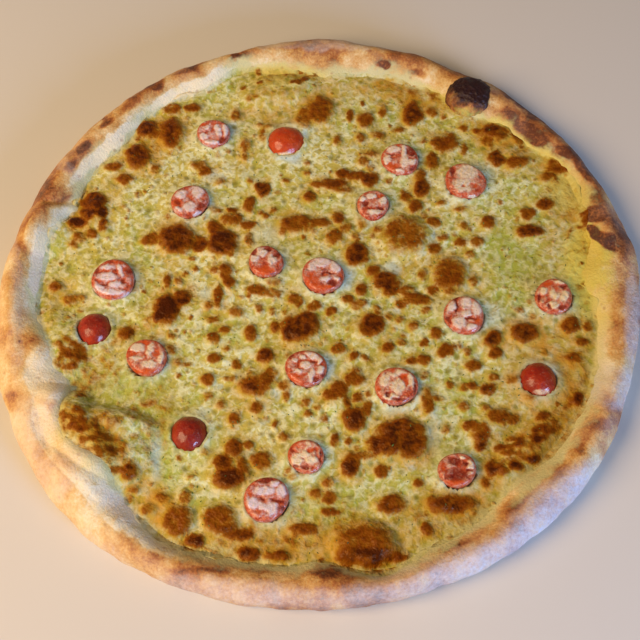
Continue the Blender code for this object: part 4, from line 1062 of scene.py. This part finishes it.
def tomatoMaterial():
    # Baked cherry tomato: wet red skin and orange-red flesh, glossy, with melted cheese run over the cut face.
    look = tomatoLook
    material, tree, shader, inMm = newMaterial("bakedCherryTomato")
    melt, skin, deep, orange, cool = (addNode(tree, "Attribute", {"attribute_name": name})["Fac"]
                                      for name in ("melt", "skin", "deep", "orange", "cool"))
    streaks, fine, grains = (
        addNode(tree, "TexNoise", inputs={"Vector": inMm, "Scale": 1 / size, "Detail": detail,
                                          "Roughness": rough, "Distortion": twist})["Fac"]
        for size, detail, rough, twist in look["noises"])
    flesh, peel = (addNode(tree, "ValToRGB", inputs={"Fac": streaks}, stops=look[name])["Color"]
                   for name in ("flesh", "skin"))
    tone = flesh
    for amount, colour in ((skin, peel), (orange, look["orange"]), (deep, look["juice"])):
        tone = addNode(tree, "Mix", inColour, {0: amount, 6: tone, 7: colour})[2]
    # melted cheese: thick runs, shaded where they thin out
    thick = addNode(tree, "Math", timesPlus, {0: melt, 1: look["meltGrain"], 2: grains})[0]
    thick = addNode(tree, "MapRange", inputs={"Value": thick, **look["meltRange"]})[0]
    runs = addNode(tree, "Mix", inColour, {0: cool, 6: look["melt"], 7: look["coolMelt"]})[2]
    cheese = addNode(tree, "Mix", inColour, {0: thick, 6: look["meltShade"], 7: runs})[2]
    relief = addNode(tree, "Math", plus, {0: fine, 1: grains})[0]
    edge = addNode(tree, "Math", timesPlus, {0: relief, 1: look["edgeGrain"], 2: -look["edgeGrain"]})[0]
    edge = addNode(tree, "Math", plus, {0: edge, 1: melt})[0]
    edge = addNode(tree, "MapRange", smoothStep, {"Value": edge, "From Min": 0.0, "From Max": look["edgeTo"]})[0]
    tone = addNode(tree, "Mix", inColour, {0: edge, 6: tone, 7: cheese})[2]
    bump = addNode(tree, "Bump", inputs={"Height": relief, **look["bump"]})[0]
    film = addNode(tree, "Bump", inputs={"Height": grains, **look["filmBump"]})[0]     # wet, over the wrinkles
    connect(tree, shader, {"Base Color": tone, "Normal": bump, "Coat Normal": film, **look["finish"]})
    return material


# What shows on each cut face, as ovals in the photograph: u, v, width, height, turn
tomatoFaces = {
    1: {"melt": [(203, 137, 14, 10, 0), (218, 130, 7, 20, 20), (211, 143, 24, 7, 0), (226, 128, 8, 20, 0),
                 (206, 127, 12, 5, 0)],
        "orange": [(214, 122, 9, 9, 0), (203, 125, 8, 6, 0)],
        "deep": [(203, 120, 8, 4, 0), (222, 140, 10, 6, 40)]},
    3: {"melt": [(393, 149, 18, 9, 0), (387, 160, 10, 12, 0), (404, 151, 7, 16, 0), (405, 162, 12, 16, 0),
                 (413, 162, 12, 6, 0), (400, 171, 12, 6, 0)],
        "orange": [(397, 144, 10, 6, 0), (392, 166, 12, 9, 0)],
        "deep": [(411, 150, 11, 13, 0), (413, 169, 10, 6, 0), (393, 155, 8, 3, 0)]},
    4: {"melt": [(467, 172, 26, 22, 0), (464, 185, 28, 18, 0), (472, 196, 14, 5, 0)],
        "orange": [(473, 186, 12, 7, 0), (464, 186, 7, 5, 0)],
        "deep": [(452, 170, 5, 18, 20), (470, 161, 14, 5, 0), (452, 193, 10, 5, 0)]},
    5: {"melt": [(371, 196, 12, 8, 0), (383, 201, 11, 9, 0), (374, 212, 16, 6, 0), (363, 199, 8, 8, 0)],
        "orange": [(380, 196, 9, 5, 0)],
        "deep": [(366, 204, 8, 6, 0), (381, 208, 9, 6, 0)]},
    6: {"melt": [(181, 194, 15, 11, 0), (198, 191, 15, 20, -20), (189, 207, 18, 12, 0), (198, 214, 15, 8, 0),
                 (178, 210, 10, 8, 0)],
        "orange": [(178, 203, 12, 12, 0)],
        "deep": [(179, 187, 12, 7, 0), (188, 183, 12, 4, 0), (202, 205, 10, 8, 0), (178, 202, 7, 7, 0)]},
    7: {"melt": [(262, 252, 13, 12, 0), (272, 259, 12, 14, 0), (254, 258, 12, 10, 0)],
        "orange": [(265, 270, 20, 12, 0)],
        "deep": [(268, 249, 11, 6, 0), (277, 254, 8, 8, 0), (254, 252, 8, 7, 0)]},
    8: {"melt": [(322, 261, 24, 16, 0), (336, 266, 16, 16, 0), (312, 267, 10, 12, 0), (326, 279, 14, 7, 0),
                 (337, 280, 8, 8, 0)],
        "orange": [(312, 280, 16, 20, 0), (325, 287, 22, 8, 0)],
        "deep": [(329, 273, 16, 3, 0), (333, 282, 14, 7, 0)]},
    9: {"melt": [(107, 277, 26, 9, 0), (108, 267, 18, 7, 0), (120, 270, 5, 20, 15), (98, 288, 16, 13, 0),
                 (116, 285, 22, 9, 0), (123, 294, 22, 9, 0), (110, 292, 20, 8, 0)],
        "orange": [(118, 263, 10, 6, 0)],
        "deep": [(104, 284, 11, 4, 0), (129, 272, 8, 10, 0), (96, 269, 8, 8, 0), (123, 281, 6, 8, 0)]},
    10: {"melt": [(555, 294, 13, 16, 0), (564, 296, 12, 14, 0), (544, 291, 10, 10, 0), (552, 305, 16, 8, 0),
                  (560, 282, 14, 6, 0)],
         "orange": [(548, 284, 11, 10, 0), (556, 290, 8, 8, 0)],
         "deep": [(563, 287, 9, 6, 0), (539, 297, 5, 11, 0), (562, 307, 11, 7, 0), (549, 306, 6, 7, 0)]},
    11: {"melt": [(451, 307, 12, 15, 0), (466, 302, 14, 18, 0), (478, 308, 16, 18, 0), (460, 322, 18, 15, 0),
                  (472, 327, 14, 8, 0), (466, 314, 12, 10, 0)],
         "orange": [(478, 320, 8, 5, 0)],
         "deep": [(457, 306, 3, 22, 0), (456, 298, 9, 9, 0), (471, 318, 16, 4, 0), (448, 318, 6, 12, 30)]},
    13: {"melt": [(150, 350, 8, 20, -20), (137, 348, 18, 12, 0), (149, 364, 22, 10, 0), (161, 357, 10, 18, 0),
                  (136, 358, 16, 6, 0)],
         "orange": [(134, 353, 12, 5, 0), (157, 353, 10, 10, 0), (146, 343, 9, 7, 0), (142, 371, 24, 6, 0)],
         "deep": []},
    14: {"melt": [(312, 355, 18, 8, -25), (321, 370, 11, 11, 0), (311, 376, 7, 18, -10), (306, 365, 14, 9, 0),
                  (298, 372, 9, 8, 0), (294, 360, 8, 5, 0), (319, 361, 6, 8, 0), (302, 357, 8, 6, 0)],
         "orange": [(295, 377, 18, 12, 0), (308, 361, 11, 4, 0)],
         "deep": [(291, 355, 8, 8, 0), (316, 379, 8, 8, 0), (314, 361, 10, 3, -20)]},
    15: {"melt": [(398, 386, 20, 19, 0), (385, 380, 14, 18, 0), (396, 373, 24, 9, 0), (410, 380, 8, 16, 0),
                  (390, 397, 22, 8, 0)],
         "orange": [(393, 371, 10, 8, 0), (403, 376, 9, 6, 0), (406, 382, 6, 11, 0), (379, 389, 5, 6, 0)],
         "deep": [(388, 394, 6, 6, 0), (400, 399, 20, 5, 0), (415, 388, 5, 18, 0)]},
    18: {"melt": [(303, 446, 22, 14, 0), (296, 461, 14, 14, 0), (311, 460, 16, 12, 0), (304, 455, 22, 8, 0)],
         "orange": [(300, 445, 20, 13, 0), (310, 450, 9, 8, 0)],
         "deep": [(306, 467, 11, 7, 0), (321, 456, 3, 18, 0), (296, 466, 6, 4, 0)]},
    19: {"melt": [(265, 491, 28, 13, 0), (274, 483, 12, 11, 0), (282, 491, 15, 17, 0), (253, 503, 14, 15, 0),
                  (271, 508, 18, 15, 0), (262, 506, 12, 10, 0)],
         "orange": [(249, 495, 6, 8, 0)],
         "deep": [(266, 480, 24, 6, 0), (262, 499, 9, 4, 0), (276, 500, 15, 4, -15), (282, 508, 8, 9, 0)]},
    20: {"melt": [(450, 472, 10, 6, 0), (471, 465, 9, 11, 0), (468, 474, 13, 5, 0), (461, 458, 12, 4, 0)],
         "orange": [(455, 481, 22, 8, 0), (464, 471, 10, 6, 0), (443, 468, 6, 12, 0)],
         "deep": [(455, 460, 14, 10, 0), (466, 463, 10, 5, 0), (458, 474, 30, 16, 0), (470, 470, 8, 4, 0)]},
}


def makeTomato(number, material):
    plan = tomatoPlan
    midX, midY, diameter, kind, lean, toward = plan["pieces"][number - 1]
    walls, height = plan["walls"], plan["height"][kind]
    tomato, share, bearing, row = foodDisc(f"cherryTomato{number:02d}", plan["rings"], walls)
    top = row == 0
    draw = random.Random(number)
    phaseTwo, phaseThree = draw.uniform(0, math.tau), draw.uniform(0, math.tau)
    section = np.array(plan["section"][kind], float)
    run = np.concatenate([[0], np.cumsum(np.hypot(*(np.diff(section, axis=0) * (diameter / 2, height)).T))])
    faceRun = run[plan["turnsDown"][kind]]
    along = np.where(top, share * faceRun, faceRun + row / walls * (run[-1] - faceRun))
    r, h = (np.interp(along, run, side) for side in section.T)
    for blur in plan["blurs"][kind]:
        r, h = ((now + np.interp(along - blur, run, side) + np.interp(along + blur, run, side)) / 3
                for now, side in zip((r, h), section.T))
    r = np.where(top & (share == 0), 0, r)
    uneven = 1 + plan["uneven"] * (np.cos(2 * bearing + phaseTwo) + 0.6 * np.cos(3 * bearing + phaseThree))
    x, y = polar(r * diameter / 2 * uneven, bearing)
    turn = math.radians(toward)
    tilt = Matrix.Rotation(math.radians(lean), 3, Vector((-math.sin(turn), math.cos(turn), 0)))
    points = np.stack([x, y, h * height], axis=1) @ np.array(tilt).T
    x, y, z = points[:, 0] + midX, points[:, 1] + midY, points[:, 2] + tomatoSeat(midX, midY, kind)
    u, v = photoPlace(x, y, z)
    if kind == "cut":
        faceEnd, faceSoft, wallShare = plan["face"]
        face = smooth((faceEnd - row) / faceSoft) * np.where(top, 1, wallShare)
        swayed = sway(u, v, x, y, *plan["sway"], 40 + number, 20)
        shown = {}
        for name, marks in tomatoFaces[number].items():
            wide = plan["meltSpread"] if name == "melt" else 1
            shown[name] = brush(*swayed, [(u, v, w * wide, h * wide, turn, 1) for u, v, w, h, turn in marks],
                                plan["firmness"])
        deep, orange = plan["seeds"] * shown["deep"] * top, plan["pulp"] * shown["orange"] * face
        least, patches, patchSize, most = plan["film"]
        film = np.clip(least + patches * cloud(x, y, patchSize, 100 + number), 0, most)
        (overDeep, overOrange), (less, edgeFrom, edgeSoft) = plan["meltGaps"], plan["rimMelt"]
        melt = np.maximum(shown["melt"], film) * face
        melt = melt * (1 - overDeep * shown["deep"]) * (1 - overOrange * shown["orange"])
        melt = melt * (1 - less * top * smooth((share - edgeFrom) / edgeSoft))
        rise, hollow, grain, grainSize = plan["faceRelief"]
        z = z + top * (rise * melt - hollow * deep - grain + grain * cloud(x, y, grainSize, 80 + number))
        skin = np.clip(1 - face, 0, 1)
    else:
        splash, splashFrom, splashRows, splashSize, splashMore = plan["domeSplash"]
        melt = splash * smooth((row - splashFrom) / splashRows)
        melt = melt * smooth(cloud(x, y, splashSize, 100 + number) + splashMore)
        # on dome 16 this mark is a painted highlight, pale like the cheese
        melt = np.maximum(melt, brush(u, v, plan["domeMeltAndGlint"].get(number, []), 1.5))
        patches = plan["tonePatches"][0] * cloud(x, y, plan["tonePatches"][1], 120 + number)
        deep, orange = (np.clip(tone + patches, 0, 1) for tone in plan["domeTones"][number])
        fold, foldSize, foldMiddle = plan["wrinkles"]
        z = z - fold * (np.abs(cloud(x, y, foldSize, 40 + number)) - foldMiddle) * top
        skin = np.ones(len(x))
    setPoints(tomato, x, y, z)
    keepValues(tomato, melt=melt, deep=deep, orange=orange, skin=skin,
               cool=np.full(len(x), plan["coolMelt"].get(number, 0.0)))
    finishPiece(tomato, material)
    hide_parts(f"tomato_{number:02d}")


# flecks of basil in the pesto

fleckPlan = {
    "count": 340, "seed": 9, "reach": 138, "clear": 1,              # how far from a tomato they keep
    "length": (0.7, 1.9), "width": 0.55, "thick": 0.3, "tilt": 0.4, "dropFrom": 50,
    "tones": [(0.35, "#2F4A1C"), (0.65, "#5E7A26")], "toneSize": 9,
    "roughness": 0.4, "bump": {"Strength": 0.2, "Distance": 0.0003},
}


def fleckMaterial():
    # Chopped basil after baking: dark green, a little wet from the oil.
    material, tree, shader, inMm = newMaterial("bakedBasilLeaf")
    vary = addNode(tree, "TexNoise", inputs={"Vector": inMm, "Scale": 1 / fleckPlan["toneSize"], "Detail": 2})["Fac"]
    tone = addNode(tree, "ValToRGB", inputs={"Fac": vary}, stops=fleckPlan["tones"])["Color"]
    bump = addNode(tree, "Bump", inputs={"Height": vary, **fleckPlan["bump"]})[0]
    connect(tree, shader, {"Base Color": tone, "Roughness": fleckPlan["roughness"], "Normal": bump})
    return material


def makeFlecks(cheese, material):
    plan = fleckPlan
    surface = BVHTree.FromObject(cheese, bpy.context.evaluated_depsgraph_get())
    draw = random.Random(plan["seed"])
    deselectAll()
    bpy.ops.mesh.primitive_ico_sphere_add(subdivisions=1, radius=0.5)
    pattern = bpy.context.object
    pattern.name = "basilFlecks"
    copies = []
    while len(copies) < plan["count"]:
        distance, bearing = plan["reach"] * math.sqrt(draw.random()), draw.uniform(0, math.tau)
        x, y = distance * math.cos(bearing), distance * math.sin(bearing)
        length, turn = draw.uniform(*plan["length"]), draw.uniform(0, math.tau)
        tilt = draw.uniform(-plan["tilt"], plan["tilt"])
        if any(math.hypot(x - t[0], y - t[1]) < t[2] / 2 + plan["clear"] for t in tomatoPlan["pieces"]):
            continue
        start = Vector([side / mmPerMetre for side in (x + planShift[0], y + planShift[1], plan["dropFrom"])])
        place, normal, _, _ = surface.ray_cast(start, Vector((0, 0, -1)))
        if place is None:
            continue
        fleck = pattern.copy()
        fleck.data = pattern.data.copy()
        size = Matrix.Diagonal((*[side / mmPerMetre for side in (length, plan["width"], plan["thick"])], 1))
        lie = normal.to_track_quat("Z", "Y").to_matrix().to_4x4()
        fleck.data.transform(Matrix.Translation(place) @ lie @ Matrix.Rotation(turn, 4, "Z")
                             @ Matrix.Rotation(tilt, 4, "Y") @ size)
        bpy.context.scene.collection.objects.link(fleck)
        copies.append(fleck)
    bpy.data.objects.remove(pattern)
    selectOnly(copies[0])
    for fleck in copies:
        fleck.select_set(True)
    bpy.ops.object.join()
    flecks = bpy.context.object
    flecks.name = flecks.data.name = "basilFlecks"
    finishPiece(flecks, material)


# the making

dough = doughMaterial()
crust = makeCrust(dough)
print("crust made:", len(crust.data.vertices), "points")
makeCharredBubble(dough)
print("charred bubble made")
cheese = makeCheese(cheeseMaterial())
print("cheese made:", len(cheese.data.vertices), "points")
flesh = tomatoMaterial()
for number in range(1, len(tomatoPlan["pieces"]) + 1):
    makeTomato(number, flesh)
print("tomatoes made")
makeFlecks(cheese, fleckMaterial())
print("basil flecks made")

# the studio

studio = {
    "floor": "#D8D4CC", "floorSize": 6, "floorFinish": {"Roughness": 0.8, "Specular IOR Level": 0.1},
    "world": {"Color": "#8F8C8C", "Strength": 0.5},
    "lights": {        # place in metres, size, power in watts, colour
        "warmKey": ((-0.83, -0.32, 0.80), 0.85, 16.0, "#FFDBAC"),
        "coolWindow": ((0.70, -0.92, 0.30), 0.45, 15.5, "#A4C6FF"),
    },
}


def areaLight(name, place, size, power, colour):
    lamp = bpy.data.lights.new(name, "AREA")
    lamp.shape, lamp.size, lamp.energy = "DISK", size, power
    lamp.color = paint(colour)[:3]
    light = bpy.data.objects.new(name, lamp)
    bpy.context.scene.collection.objects.link(light)
    light.location = place
    light.rotation_euler = (-Vector(place)).to_track_quat("-Z", "Y").to_euler()


def makeStudio():
    deselectAll()
    bpy.ops.mesh.primitive_plane_add(size=studio["floorSize"])
    floor = bpy.context.object
    floor.name = "paleFloor"
    material, tree, shader, _ = newMaterial("paleTable")
    connect(tree, shader, {"Base Color": studio["floor"], **studio["floorFinish"]})
    floor.data.materials.append(material)
    for name, rule in studio["lights"].items():
        areaLight(name, *rule)
    world = bpy.data.worlds.new("softRoom")
    world.use_nodes = True
    connect(world.node_tree, world.node_tree.nodes["Background"], studio["world"])
    bpy.context.scene.world = world
    bpy.context.scene.view_settings.view_transform = "Standard"


makeStudio()
print("studio set")
